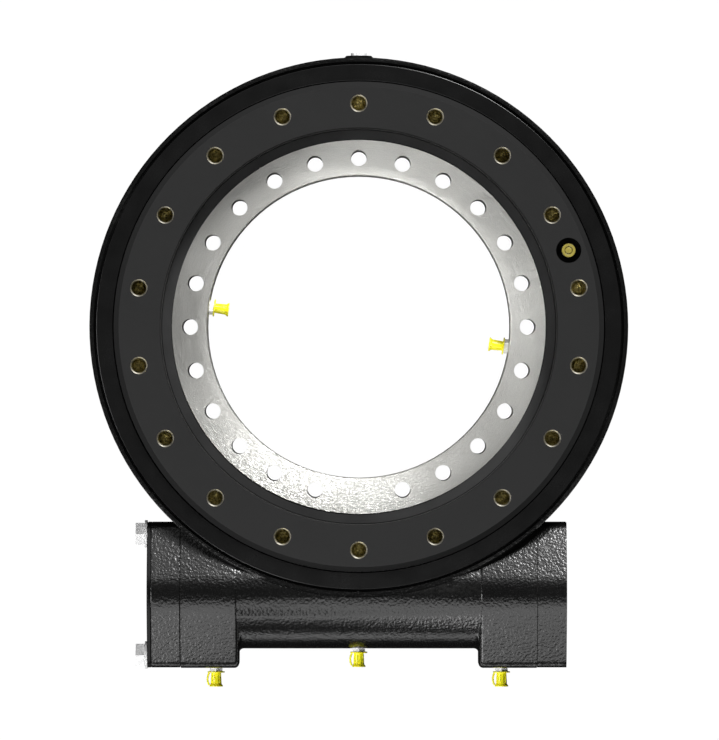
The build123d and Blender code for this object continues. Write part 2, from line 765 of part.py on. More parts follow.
def roller(side, extra=0.0):
    """One tapered roller, or its pocket with extra room all round."""
    tilt = radians(ROLLER_TILT)
    slope = tan(radians(roller_taper))
    half = ROLLER_LENGTH / 2
    small = (roller_distance - half) * slope + extra
    large = (roller_distance + half) * slope + extra
    shape = turned([(0, -half - extra), (small, -half - extra), (large, half + extra), (0, half + extra)])
    middle = side * (cone_back + ROLLER_INSET)
    place = Plane(
        origin=(middle, worm_y + roller_circle, worm_z),
        x_dir=(0, 0, 1),
        z_dir=(-side * cos(tilt), sin(tilt), 0),
    )
    return place.location * shape


def make_rollers(side):
    """Tapered rollers of a worm bearing."""
    one = roller(side)
    return [one.rotate(worm_axis, angle) for angle in even_angles(ROLLERS)]


def make_roller_cage(side):
    """Pressed cage that spaces the rollers."""
    inner_end = cone_back + TUNNEL_GAP
    outer_end = cone_back + CONE_WIDTH - TUNNEL_GAP
    start = taper_radius(inner_end, ROLLER_TILT) + CAGE_OFFSET
    end = taper_radius(outer_end, ROLLER_TILT) + CAGE_OFFSET
    body = turned_on_worm([
        (side * inner_end, start),
        (side * inner_end, start + CAGE_WALL),
        (side * outer_end, end + CAGE_WALL),
        (side * outer_end, end),
    ])
    pocket = roller(side, 2 * SCREW_FIT)
    return body - [pocket.rotate(worm_axis, angle) for angle in even_angles(ROLLERS)]


def make_gasket(side):
    """Gasket between an end block and its cover."""
    body = end_slab(side * block_end, side * GASKET, GASKET_INSET)
    body -= rod((side * plate_start, worm_y, worm_z), (-side, 0, 0), cup_radius, GASKET)
    return body - end_holes(side, plate_start, GASKET, END_SCREW_RADIUS + SCREW_FIT)


def end_plate(side):
    """End cover blank with its spigot and counterbored screw holes."""
    body = end_slab(side * plate_start, side * END_PLATE, END_PLATE_INSET)
    body += rod((side * plate_start, worm_y, worm_z), (-side, 0, 0), cup_radius - PLUG_FIT,
                plate_start - cup_back)
    body -= end_holes(side, plate_end, END_PLATE, END_SCREW_RADIUS + HEAD_FIT)
    return body - end_holes(side, plate_end, END_SCREW_HEAD + END_SCREW_SINK,
                            END_SCREW_HEAD_RADIUS + HEAD_FIT)


def make_motor_flange():
    """Motor-side cover with the pilot recess, shaft seal seat and bolt holes of the port."""
    body = end_plate(-1)
    mouth = (-plate_end, worm_y, worm_z)
    body -= rod(mouth, (1, 0, 0), PILOT_RADIUS, PILOT_DEPTH)
    body -= rod(mouth, (1, 0, 0), shaft_seal_radius, SHAFT_END_INSET + SHAFT_SEAL_WIDTH + SEAL_SPACE)
    body -= rod(mouth, (1, 0, 0), shaft_seat_radius + TUNNEL_GAP, plate_end - cup_back + OVERRUN)
    for y in port_bolt_points():
        body -= rod((-plate_end, y, worm_z), (1, 0, 0), PORT_BOLT_RADIUS + SCREW_FIT,
                    PORT_BOLT_REACH + 2 * OVERRUN)
    return body


def make_bearing_cap():
    """Closed cover at the far end, with a pocket for the shaft's end."""
    start = (cup_back - OVERRUN, worm_y, worm_z)
    return end_plate(1) - rod(start, (1, 0, 0), shaft_seat_radius + TUNNEL_GAP, SPIGOT)


def make_end_screws(side):
    """Socket-head screws of an end cover."""
    under_head = plate_end - END_SCREW_HEAD - END_SCREW_SINK
    screws = []
    for y, z in end_screw_points():
        head = rod((side * under_head, y, z), (side, 0, 0), END_SCREW_HEAD_RADIUS, END_SCREW_HEAD)
        shank = rod((side * under_head, y, z), (-side, 0, 0), END_SCREW_RADIUS,
                    under_head - block_end + END_SCREW_REACH)
        place = Plane(origin=(side * (under_head + END_SCREW_HEAD / 2), y, z), z_dir=(side, 0, 0))
        socket = place.location * hex_prism(2 * END_SCREW_SOCKET, END_SCREW_HEAD)
        screws.append(head + shank - socket)
    return screws


def make_shaft_seal():
    """Rotary seal between the motor flange and the worm shaft."""
    start = shaft_motor_end
    inner = journal_radius + LIP_GAP
    return turned_on_worm([
        (start, inner),
        (start, shaft_seal_radius - PLUG_FIT),
        (start + SHAFT_SEAL_WIDTH, shaft_seal_radius - PLUG_FIT),
        (start + SHAFT_SEAL_WIDTH, inner + SHAFT_LIP_STEP),
        (start + SHAFT_SEAL_WIDTH / 2, inner + SHAFT_LIP_STEP),
        (start + SHAFT_SEAL_WIDTH / 2, inner),
    ])


def make_cover_plate():
    """Plate that closes the motor port."""
    body = end_slab(-plate_end, -COVER_PLATE, END_PLATE_INSET)
    for y in port_bolt_points():
        body -= rod((-plate_end, y, worm_z), (-1, 0, 0), PORT_HOLE_RADIUS, COVER_PLATE)
    return body


def make_port_washers():
    """Flat washers under the port's bolts."""
    start = plate_end + COVER_PLATE
    washers = []
    for y in port_bolt_points():
        disc = rod((-start, y, worm_z), (-1, 0, 0), WASHER_RADIUS, WASHER)
        washers.append(disc - rod((-start, y, worm_z), (-1, 0, 0), PORT_HOLE_RADIUS, WASHER))
    return washers


def make_port_bolts():
    """Hex bolts that hold the cover plate on the motor port."""
    start = plate_end + COVER_PLATE + WASHER
    reach = COVER_PLATE + WASHER + PORT_BOLT_REACH
    bolts = []
    for y in port_bolt_points():
        head = hex_prism(PORT_HEX, PORT_HEAD)
        crown = turned([
            (0, 0),
            (PORT_HEX, 0),
            (PORT_HEX / 2 * PORT_CROWN, PORT_HEAD),
            (0, PORT_HEAD),
        ])
        place = seat((-start, y, worm_z), (-1, 0, 0), (0, 1, 0))
        bolt = (head & crown) + rod((0, 0, 0), (0, 0, -1), PORT_BOLT_RADIUS, reach)
        bolts.append(place * bolt)
    return bolts


def nipple():
    """Grease nipple standing on z = 0."""
    neck = NIPPLE_HEAD_RADIUS - NIPPLE_NECK_STEP
    ball_low, ball_high = [NIPPLE_HEIGHT * share for share in NIPPLE_HEAD_SHARES]
    body = turned([
        (0, -NIPPLE_REACH),
        (NIPPLE_RADIUS, -NIPPLE_REACH),
        (NIPPLE_RADIUS, 0),
        (NIPPLE_HEAD_RADIUS, 0),
        (NIPPLE_HEAD_RADIUS, NIPPLE_HEX_HEIGHT),
        (neck, NIPPLE_HEX_HEIGHT + NIPPLE_NECK_SLOPE),
        (neck, NIPPLE_HEIGHT * NIPPLE_NECK_SHARE),
        (NIPPLE_HEAD_RADIUS, ball_low),
        (NIPPLE_HEAD_RADIUS, ball_high),
        (NIPPLE_HEAD_RADIUS / 2, NIPPLE_HEIGHT),
        (0, NIPPLE_HEIGHT),
    ])
    return body + hex_prism(NIPPLE_HEX, NIPPLE_HEX_HEIGHT)


def nipple_cap(tethered=True):
    """Plastic cap on a nipple; a tethered one has a retaining ring with a strap."""
    bore = NIPPLE_HEAD_RADIUS + CAP_FIT
    foot = NIPPLE_HEX_HEIGHT + SEAL_SET
    under_flange = CAP_HEIGHT - CAP_FLANGE
    ring = CAP_RING_RADIUS if tethered else CAP_WAIST_RADIUS
    body = turned([
        (bore, foot),
        (ring, foot),
        (ring, foot + CAP_RING),
        (CAP_NECK_RADIUS, foot + CAP_RING),
        (CAP_WAIST_RADIUS, under_flange - CAP_FLANGE / 2),
        (CAP_FLANGE_RADIUS, under_flange),
        (CAP_FLANGE_RADIUS, CAP_HEIGHT),
        (0, CAP_HEIGHT),
        (0, NIPPLE_HEIGHT + CAP_RING),
        (bore, NIPPLE_HEIGHT + CAP_RING),
    ])
    return body + cap_strap(foot) if tethered else body


def cap_strap(foot):
    """Bent strap from a cap's retaining ring to its end flange."""
    middle = (foot + CAP_HEIGHT) / 2
    low = -CAP_RING_RADIUS + STRAP
    high = -CAP_FLANGE_RADIUS + STRAP
    outer = ThreePointArc((low - STRAP / 2, 0, foot), (-STRAP_REACH, 0, middle),
                          (high - STRAP / 2, 0, CAP_HEIGHT))
    inner = ThreePointArc((high + STRAP / 2, 0, CAP_HEIGHT), (-STRAP_REACH + STRAP, 0, middle),
                          (low + STRAP / 2, 0, foot))
    ends = Line(outer @ 1, inner @ 0) + Line(inner @ 1, outer @ 0)
    return extrude(make_face(outer + inner + ends), STRAP_WIDTH / 2, both=True)


def make_relief_plug():
    """Slotted relief plug on the rim's boss."""
    body = rod((0, 0, 0), (0, 0, 1), PLUG_HEAD_RADIUS, PLUG_HEAD)
    body += rod((0, 0, 0), (0, 0, -1), NIPPLE_RADIUS, rim_radius - trough_radius)
    for x in PLUG_SLOTS_X:
        slot = Box(PLUG_SLOT, 3 * PLUG_HEAD_RADIUS, PLUG_HEAD,
                   align=(Align.CENTER, Align.CENTER, Align.MIN))
        body -= Pos(x, 0, PLUG_SLOT_FLOOR) * slot
    return relief_plug_place * body


nodes = {
    "housing": make_housing(),
    "fixed_ring": make_fixed_ring(),
    "filler_plug": make_filler_plug(),
    "filler_plug_pin": make_filler_pin(),
    "fixed_ring_screws": make_ring_screws(),
    "outer_seal": make_outer_seal(),
    "inner_seal": make_inner_seal(),
    "motor_flange_gasket": make_gasket(-1),
    "bearing_cap_gasket": make_gasket(1),
    "motor_flange": make_motor_flange(),
    "bearing_cap": make_bearing_cap(),
    "motor_flange_screws": make_end_screws(-1),
    "bearing_cap_screws": make_end_screws(1),
    "shaft_seal": make_shaft_seal(),
    "port_cover_plate": make_cover_plate(),
    "port_washers": make_port_washers(),
    "port_bolts": make_port_bolts(),
    "motor_side_bearing_cup": make_bearing_cup(-1),
    "far_side_bearing_cup": make_bearing_cup(1),
    "worm_nipples": [place * nipple() for place in worm_nipple_places],
    "worm_nipple_caps": [place * nipple_cap() for place in worm_nipple_places],
    "bore_nipples": [place * nipple() for place in bore_nipple_places],
    "bore_nipple_caps": [place * nipple_cap() for place in bore_nipple_places],
    "relief_plug": make_relief_plug(),
    "toothed_ring": make_toothed_ring(),
    "face_nipple": face_nipple_place * nipple(),
    "face_nipple_cap": face_nipple_place * nipple_cap(tethered=False),
    "race_balls": make_balls(),
    "ball_cage": make_ball_cage(),
    "worm_shaft": make_worm(),
    "motor_side_bearing_cone": make_bearing_cone(-1),
    "far_side_bearing_cone": make_bearing_cone(1),
    "motor_side_rollers": make_rollers(-1),
    "far_side_rollers": make_rollers(1),
    "motor_side_roller_cage": make_roller_cage(-1),
    "far_side_roller_cage": make_roller_cage(1),
}

os.makedirs("parts", exist_ok=True)
for name, shape in nodes.items():
    pieces = shape if isinstance(shape, list) else [shape]
    solids = [solid for piece in pieces for solid in piece.solids()]
    export_step(Compound(solids) if len(solids) > 1 else solids[0], f"parts/{name}.step")
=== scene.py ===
"""Looks of a hydraulic slewing drive: finishes, detailed small pieces, studio light and camera.

The drive lies flat on z = 0 with its slewing axis along Z. The worm lies along X on the -Y side.
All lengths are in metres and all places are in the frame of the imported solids.
"""

import logging
import math
from dataclasses import dataclass
from enum import Enum
from typing import Sequence

import bmesh
import bpy
from mathutils import Matrix, Vector


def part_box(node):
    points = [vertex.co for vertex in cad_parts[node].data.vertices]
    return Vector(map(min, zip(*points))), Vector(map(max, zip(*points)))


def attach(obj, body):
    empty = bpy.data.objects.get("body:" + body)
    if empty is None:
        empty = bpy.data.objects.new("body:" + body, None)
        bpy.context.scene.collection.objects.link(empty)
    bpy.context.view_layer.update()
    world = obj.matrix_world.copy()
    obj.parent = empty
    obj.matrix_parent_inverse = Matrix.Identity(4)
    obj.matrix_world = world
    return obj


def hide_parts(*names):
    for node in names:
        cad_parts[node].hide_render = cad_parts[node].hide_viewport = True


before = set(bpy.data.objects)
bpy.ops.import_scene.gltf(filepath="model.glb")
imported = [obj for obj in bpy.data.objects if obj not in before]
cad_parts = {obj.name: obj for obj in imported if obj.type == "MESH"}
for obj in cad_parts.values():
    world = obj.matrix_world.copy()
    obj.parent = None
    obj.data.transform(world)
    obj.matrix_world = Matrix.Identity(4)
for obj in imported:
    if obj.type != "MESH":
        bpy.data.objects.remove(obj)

Rgb = tuple[float, float, float]
Profile = list[tuple[float, float]]
Node = bpy.types.Node
Socket = bpy.types.NodeSocket

MM = 0.001
WORM_LINE = (0.0, -0.235, 0.050)
WELD = 0.001 * MM  # points of one sculpt nearer than this are one
SOLID_WELD = 0.002 * MM  # the same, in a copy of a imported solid
FLAT_ANGLE = 0.6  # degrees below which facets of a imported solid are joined
SHARP_ANGLE = 30.0  # degrees above which an edge is bevelled
BEVEL_STEPS = {"EDGES": 2, "VERTICES": 3}
log = logging.getLogger("slewing_drive")


class Body(Enum):
    """Bodies that the new pieces ride on."""

    HOUSING = "housing_assembly"
    RING = "slewing_ring"


class Slot(Enum):
    """Material slots of the record."""

    CAST_BLACK = "cast_black_paint"
    SMOOTH_BLACK = "smooth_black_paint"
    RING_PAINT = "ring_paint"
    GROUND_STEEL = "ground_steel"
    WORM_STEEL = "worm_steel"
    BEARING_STEEL = "bearing_steel"
    PRESSED_STEEL = "pressed_steel"
    BLACK_OXIDE = "black_oxide_steel"
    ZINC = "zinc_plate"
    RUBBER = "black_rubber"
    GASKET = "gasket_paper"
    YELLOW = "yellow_plastic"
    CAGE_PLASTIC = "cage_plastic"


class Around(Enum):
    """Axis that turned marks run around, as the mask of the two directions across it."""

    SLEW = (1.0, 1.0, 0.0)
    WORM = (0.0, 1.0, 1.0)

    def along(self) -> tuple[float, float, float]:
        """Mask of the axis direction itself."""
        return tuple(1.0 - part for part in self.value)


class Wiring:
    """Adds nodes to one shader tree and links them."""

    def __init__(self, tree: bpy.types.NodeTree) -> None:
        """Empties the tree of a material, a world or a group, and works on it."""
        self.tree = tree
        tree.nodes.clear()

    def node(self, kind: str, **settings: object) -> Node:
        """Adds one node.

        Args:
            kind: Node type without its "ShaderNode" prefix.
            settings: Attributes to set on the node.

        Returns:
            The new node.
        """
        made = self.tree.nodes.new("ShaderNode" + kind)
        for name, value in settings.items():
            setattr(made, name, value)
        return made

    def link(self, source: Socket, target: Socket) -> None:
        """Links an output to an input."""
        self.tree.links.new(source, target)

    def feed(self, target: Socket, value: object) -> None:
        """Links a socket to an input, or sets the input to a constant.

        Args:
            target: Input socket.
            value: Output socket, number or sequence.
        """
        if isinstance(value, Socket):
            self.link(value, target)
        else:
            target.default_value = value

    def math(self, operation: str, *values: object) -> Socket:
        """Adds a Math node.

        Args:
            operation: What the node does.
            values: Sockets or numbers that it works on.

        Returns:
            Its result.
        """
        made = self.node("Math", operation=operation)
        for index, value in enumerate(values):
            self.feed(made.inputs[index], value)
        return made.outputs[0]

    def vector(self, operation: str, *values: object, result: str = "Vector") -> Socket:
        """Adds a Vector Math node.

        Args:
            operation: What the node does.
            values: Sockets or vectors that it works on, or for SCALE a vector and a number.
            result: Name of the output to take.

        Returns:
            That output.
        """
        made = self.node("VectorMath", operation=operation)
        for index, value in enumerate(values):
            name = "Scale" if operation == "SCALE" and index == 1 else index
            self.feed(made.inputs[name], value)
        return made.outputs[result]

    def noise(self, place: object, scale: object, detail: float = 2.0,
              roughness: float = 0.5) -> Socket:
        """Adds a Noise texture.

        Args:
            place: Coordinates to read it at.
            scale: Its scale.
            detail: Octaves of finer noise in it.
            roughness: Share of the finer octaves.

        Returns:
            Its value.
        """
        made = self.node("TexNoise")
        for name, value in (("Vector", place), ("Scale", scale), ("Detail", detail),
                            ("Roughness", roughness)):
            self.feed(made.inputs[name], value)
        return made.outputs[0]

    def cells(self, place: object, scale: object, **settings: object) -> bpy.types.NodeOutputs:
        """Adds a Voronoi texture.

        Args:
            place: Coordinates to read it at.
            scale: Its scale.
            settings: Attributes to set on the node.

        Returns:
            Its outputs.
        """
        made = self.node("TexVoronoi", **settings)
        self.feed(made.inputs["Vector"], place)
        self.feed(made.inputs["Scale"], scale)
        return made.outputs

    def spread(self, value: Socket, low: object, high: object,
               start: float = 0.0, end: float = 1.0) -> Socket:
        """Maps a value from one range to another, clamped.

        Args:
            value: The value.
            low: Result at the start of the range.
            high: Result at its end.
            start: Value that gives low.
            end: Value that gives high.

        Returns:
            The mapped value.
        """
        made = self.node("MapRange")
        for name, number in (("Value", value), ("From Min", start), ("From Max", end),
                             ("To Min", low), ("To Max", high)):
            self.feed(made.inputs[name], number)
        return made.outputs[0]

    def mask(self, value: Socket, start: float, end: float) -> Socket:
        """Mask that rises from 0 to 1 between two values."""
        return self.spread(value, 0.0, 1.0, start, end)

    def blend(self, share: object, first: object, second: object) -> Socket:
        """Mixes two colours.

        Args:
            share: Share of the second colour.
            first: First colour.
            second: Second colour.

        Returns:
            The mixed colour.
        """
        made = self.node("Mix", data_type="RGBA")
        for index, value in ((0, share), (6, first), (7, second)):  # 6 and 7 take the colours
            self.feed(made.inputs[index], value)
        return made.outputs[2]

    def object_place(self) -> Socket:
        """Object coordinates of the shaded point."""
        return self.node("TexCoord").outputs["Object"]


class Effect:
    """A shader node group with named inputs and outputs, built once for all finishes."""

    name = "effect"
    inputs: dict[str, tuple[str, object]] = {}
    outputs: dict[str, str] = {}

    def group(self) -> bpy.types.NodeTree:
        """Returns the group, which is built the first time.

        Returns:
            The node group of this effect.
        """
        found = bpy.data.node_groups.get(self.name)
        if found:
            return found
        tree = bpy.data.node_groups.new(self.name, "ShaderNodeTree")
        sockets = tree.interface
        for label, (kind, value) in self.inputs.items():
            entry = sockets.new_socket(name=label, in_out="INPUT", socket_type="NodeSocket" + kind)
            entry.default_value = value
        for label, kind in self.outputs.items():
            sockets.new_socket(name=label, in_out="OUTPUT", socket_type="NodeSocket" + kind)
        wiring = Wiring(tree)
        inside = tree.nodes.new("NodeGroupInput").outputs
        leave = tree.nodes.new("NodeGroupOutput").inputs
        for label, socket in self.build(wiring, inside).items():
            wiring.link(socket, leave[label])
        return tree

    def build(self, wiring: Wiring, entry: bpy.types.NodeOutputs) -> dict[str, Socket]:
        """Adds the group's nodes.

        Args:
            wiring: Helper on the group's tree.
            entry: Sockets of the group's inputs.

        Returns:
            The socket behind each named output.
        """
        raise NotImplementedError

    def place(self, wiring: Wiring, **values: object) -> bpy.types.NodeOutputs:
        """Places the group in a material.

        Args:
            wiring: Helper on the material's tree.
            values: Values of the named inputs, with underscores for spaces.

        Returns:
            The outputs of the placed group.
        """
        made = wiring.node("Group", node_tree=self.group())
        for label, value in values.items():
            wiring.feed(made.inputs[label.replace("_", " ")], value)
        return made.outputs


class Mottle(Effect):
    """Slow cloudy change of tone over a surface, with a finer fleck in it."""

    name = "mottle"
    inputs = {
        "Light": ("Color", (1.0, 1.0, 1.0, 1.0)),
        "Dark": ("Color", (0.0, 0.0, 0.0, 1.0)),
        "Cloud Scale": ("Float", 18.0),
        "Fleck Scale": ("Float", 500.0),
        "Fleck Share": ("Float", 0.4),
    }
    outputs = {"Color": "Color", "Mask": "Float"}

    def build(self, wiring: Wiring, entry: bpy.types.NodeOutputs) -> dict[str, Socket]:
        """Adds clouds and flecks, and mixes the two tones by them.

        Args:
            wiring: Helper on the group's tree.
            entry: Sockets of the group's inputs.

        Returns:
            The socket behind each named output.
        """
        place = wiring.object_place()
        cloud = wiring.noise(place, entry["Cloud Scale"], detail=3.0)
        fleck = wiring.noise(place, entry["Fleck Scale"], roughness=0.6)
        rest = wiring.math("SUBTRACT", 1.0, entry["Fleck Share"])
        value = wiring.math("ADD", wiring.math("MULTIPLY", cloud, rest),
                            wiring.math("MULTIPLY", fleck, entry["Fleck Share"]))
        mask = wiring.mask(value, start=0.36, end=0.64)
        return {"Color": wiring.blend(mask, entry["Dark"], entry["Light"]), "Mask": mask}


class CastGrain(Effect):
    """Relief of a painted sand casting: rounded grains with small pits on a slow swell."""

    name = "cast_grain"
    inputs = {
        "Grain Scale": ("Float", 300.0),
        "Pit Scale": ("Float", 700.0),
        "Pit Share": ("Float", 0.04),
        "Swell Scale": ("Float", 30.0),
        "Swell Share": ("Float", 0.6),
    }
    outputs = {"Height": "Float", "Pits": "Float"}

    def build(self, wiring: Wiring, entry: bpy.types.NodeOutputs) -> dict[str, Socket]:
        """Adds grains, pits and a slow swell, and sums them as a height.

        Args:
            wiring: Helper on the group's tree.
            entry: Sockets of the group's inputs.

        Returns:
            The socket behind each named output.
        """
        place = wiring.object_place()
        height = wiring.noise(place, entry["Grain Scale"], detail=1.0)
        swell = wiring.noise(place, entry["Swell Scale"])
        cells = wiring.cells(place, entry["Pit Scale"], feature="SMOOTH_F1")
        pits = wiring.mask(cells["Distance"], start=0.08, end=0.5)
        for part, share in ((pits, entry["Pit Share"]), (swell, entry["Swell Share"])):
            height = wiring.math("ADD", height, wiring.math("MULTIPLY", part, share))
        return {"Height": height, "Pits": pits}


class TurnedMarks(Effect):
    """Fine marks that run around an axis, as turning, grinding or moulding leaves them."""

    name = "turned_marks"
    inputs = {
        "Centre": ("Vector", (0.0, 0.0, 0.0)),
        "Across": ("Vector", (1.0, 1.0, 0.0)),
        "Along": ("Vector", (0.0, 0.0, 1.0)),
        "Mark Scale": ("Float", 2500.0),
        "Arc Scale": ("Float", 60.0),
        "Streak Scale": ("Float", 0.35),
    }
    outputs = {"Height": "Float", "Streak": "Float"}

    def build(self, wiring: Wiring, entry: bpy.types.NodeOutputs) -> dict[str, Socket]:
        """Stretches noise around the axis: short across the marks, long along them.

        Args:
            wiring: Helper on the group's tree.
            entry: Sockets of the group's inputs.

        Returns:
            The socket behind each named output.
        """
        place = wiring.vector("SUBTRACT", wiring.object_place(), entry["Centre"])
        across = wiring.vector("MULTIPLY", place, entry["Across"])
        radius = wiring.vector("LENGTH", across, result="Value")
        depth = wiring.vector("DOT_PRODUCT", place, entry["Along"], result="Value")
        step = wiring.math("MULTIPLY", wiring.math("ADD", radius, depth), entry["Mark Scale"])
        turn = wiring.vector("SCALE", wiring.vector("NORMALIZE", across), entry["Arc Scale"])
        spot = wiring.vector("ADD", turn, wiring.vector("SCALE", entry["Along"], step))
        height = wiring.noise(spot, 1.0, roughness=0.6)
        streak = wiring.noise(spot, entry["Streak Scale"], detail=3.0, roughness=0.65)
        return {"Height": height, "Streak": wiring.mask(streak, start=0.3, end=0.7)}


class Spangle(Effect):
    """Crystal patches of plating: cells that each have their own tone."""

    name = "spangle"
    inputs = {
        "Cell Scale": ("Float", 900.0),
        "Grit Scale": ("Float", 3000.0),
        "Cell Share": ("Float", 0.55),
        "Grit Share": ("Float", 0.45),
    }
    outputs = {"Tone": "Float", "Height": "Float"}

    def build(self, wiring: Wiring, entry: bpy.types.NodeOutputs) -> dict[str, Socket]:
        """Adds the cells and a grit over them.

        Args:
            wiring: Helper on the group's tree.
            entry: Sockets of the group's inputs.

        Returns:
            The socket behind each named output.
        """
        place = wiring.object_place()
        split = wiring.node("SeparateColor")
        wiring.link(wiring.cells(place, entry["Cell Scale"])["Color"], split.inputs[0])
        grit = wiring.noise(place, entry["Grit Scale"], detail=3.0, roughness=0.7)
        tone = wiring.math("ADD", wiring.math("MULTIPLY", split.outputs[0], entry["Cell Share"]),
                           wiring.math("MULTIPLY", grit, entry["Grit Share"]))
        return {"Tone": tone, "Height": wiring.math("ADD", tone, grit)}


class EdgeSheenAndRubbing(Effect):
    """Mask of bulging outer edges, broken up by noise: partly rubbing, partly painted highlight."""

    name = "edge_sheen_and_rubbing"
    inputs = {"Break Scale": ("Float", 220.0)}
    outputs = {"Mask": "Float"}

    def build(self, wiring: Wiring, entry: bpy.types.NodeOutputs) -> dict[str, Socket]:
        """Takes how far the surface bulges, and breaks it with noise.

        Args:
            wiring: Helper on the group's tree.
            entry: Sockets of the group's inputs.

        Returns:
            The socket behind each named output.
        """
        bulge = wiring.node("NewGeometry").outputs["Pointiness"]
        broken = wiring.noise(wiring.object_place(), entry["Break Scale"], 3.0, roughness=0.6)
        # painted highlight on bulging edges, standing also for rubbing
        return {"Mask": wiring.math("MULTIPLY", wiring.mask(bulge, start=0.53, end=0.62),
                                    wiring.mask(broken, start=0.35, end=0.6))}


@dataclass(frozen=True)
class Finish:
    """A surface finish whose material is made once.

    Attributes:
        slot: Material slot of the record that the finish belongs to.
        name: Name of the material.
        light: Lighter tone of the surface.
        dark: Darker tone of the surface.
        smooth: Lowest roughness.
        rough: Highest roughness.
        bump: Depth of the relief.
        metallic: 1 for bare metal, less for plating and 0 for the rest.
        gloss: Strength of the mirror-like part of a surface that isn't metallic.
        glow: Share of light that passes under the surface.
    """

    slot: Slot
    name: str
    light: Rgb
    dark: Rgb
    smooth: float
    rough: float
    bump: float
    metallic: float = 0.0
    gloss: float = 0.5
    glow: float = 0.0

    def material(self) -> bpy.types.Material:
        """Returns the material, which is built the first time.

        Its name differs from the slot's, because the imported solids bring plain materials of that
        name.

        Returns:
            The material.
        """
        title = self.name + "_finish"
        found = bpy.data.materials.get(title)
        if found:
            return found
        made = bpy.data.materials.new(title)
        made.use_nodes = True
        wiring = Wiring(made.node_tree)
        colour, roughness, height = self.surface(wiring)
        bump = wiring.node("Bump")
        bump.inputs["Distance"].default_value = self.bump
        wiring.link(height, bump.inputs["Height"])
        shader = wiring.node("BsdfPrincipled")
        for label, value in (("Metallic", self.metallic), ("Specular IOR Level", self.gloss),
                             ("Subsurface Weight", self.glow), ("Subsurface Scale", MM),
                             ("Base Color", colour), ("Roughness", roughness),
                             ("Normal", bump.outputs[0])):
            wiring.feed(shader.inputs[label], value)
        wiring.link(shader.outputs[0], wiring.node("OutputMaterial").inputs["Surface"])
        return made

    def surface(self, wiring: Wiring) -> tuple[Socket, Socket, Socket]:
        """Adds the nodes that make the surface what it is.

        Args:
            wiring: Helper on the material's tree.

        Returns:
            Sockets of its colour, its roughness and the height of its relief.
        """
        raise NotImplementedError

    def tones(self) -> dict[str, tuple[float, float, float, float]]:
        """The two tones as inputs of the mottle group."""
        return {"Light": (*self.light, 1.0), "Dark": (*self.dark, 1.0)}

    def dress(self, *pieces: bpy.types.Object) -> None:
        """Gives the finish to all faces of mesh objects.

        Args:
            pieces: The objects.
        """
        for piece in pieces:
            piece.data.materials.clear()
            piece.data.materials.append(self.material())


@dataclass(frozen=True)
class CastPaint(Finish):
    """Paint over a casting, with the casting's grain showing through."""

    grain: float = 300.0
    pits: float = 2.2  # pits to a grain
    breaks: float = 0.5  # breaks of the edge sheen and rubbing to a grain
    sheen_rubbing_tone: float = 4.0  # tone of the lighter edges, painted highlight and rubbing, of the lighter tone
    sheen_rubbing_share: float = 0.5

    def surface(self, wiring: Wiring) -> tuple[Socket, Socket, Socket]:
        """Adds grain, lighter bulging edges that are partly rubbing and partly painted highlight,
        and a gloss that is lower in the pits.

        Args:
            wiring: Helper on the material's tree.

        Returns:
            Sockets of colour, roughness and height.
        """
        grain = CastGrain().place(wiring, Grain_Scale=self.grain, Pit_Scale=self.pits * self.grain)
        tone = Mottle().place(wiring, **self.tones(), Fleck_Scale=self.grain)
        # lighter bulging edges: painted highlight, partly rubbing
        sheen_rubbing = EdgeSheenAndRubbing().place(wiring, Break_Scale=self.breaks * self.grain)
        sheen_rubbing_colour = tuple(self.sheen_rubbing_tone * part for part in self.light)
        share = wiring.math("MULTIPLY", sheen_rubbing["Mask"], self.sheen_rubbing_share)
        colour = wiring.blend(share, tone["Color"], (*sheen_rubbing_colour, 1.0))
        return colour, wiring.spread(grain["Pits"], self.rough, self.smooth), grain["Height"]


@dataclass(frozen=True)
class TurnedMetal(Finish):
    """Machined metal, bare or painted, with marks that run around an axis.

    Attributes:
        around: Axis that the marks run around.
        centre: Point on that axis.
        marks: Scale of the marks across them.
        arc: Scale of the marks along them.
        fleck: Scale of the fleck in the tone.
        fleck_share: Share of the fleck in the tone.
        streak_share: Share of the darker tone in the streaks.
        painted_shade_tone: Painted shade: a darker tone for the faces that don't look up, if they
            get one.
        flank_rough: Roughness of those faces.
    """

    around: Around = Around.SLEW
    centre: tuple[float, float, float] = (0.0, 0.0, 0.0)
    marks: float = 2500.0
    arc: float = 60.0
    fleck: float = 1500.0
    fleck_share: float = 0.6
    streak_share: float = 0.5
    painted_shade_tone: Rgb | None = None
    flank_rough: float = 0.85

    def surface(self, wiring: Wiring) -> tuple[Socket, Socket, Socket]:
        """Adds streaks that change tone and gloss, painted shade on the faces that don't look up,
        and the marks as relief.

        Args:
            wiring: Helper on the material's tree.

        Returns:
            Sockets of colour, roughness and height.
        """
        marks = TurnedMarks().place(
            wiring, Centre=self.centre, Across=self.around.value, Along=self.around.along(),
            Mark_Scale=self.marks, Arc_Scale=self.arc)
        tone = Mottle().place(wiring, **self.tones(), Fleck_Scale=self.fleck,
                              Fleck_Share=self.fleck_share)
        share = wiring.math("MULTIPLY", marks["Streak"], self.streak_share)
        colour = wiring.blend(share, tone["Color"], (*self.dark, 1.0))
        roughness = wiring.spread(marks["Streak"], self.smooth, self.rough)
        # painted shade: faces that don't look up get a darker tone, and a higher roughness
        if self.painted_shade_tone:
            split = wiring.node("SeparateXYZ")
            wiring.link(wiring.node("NewGeometry").outputs["True Normal"], split.inputs[0])
            level = wiring.mask(split.outputs["Z"], start=0.90, end=0.98)
            colour = wiring.blend(level, (*self.painted_shade_tone, 1.0), colour)
            roughness = wiring.spread(level, self.flank_rough, roughness)
        return colour, roughness, marks["Height"]


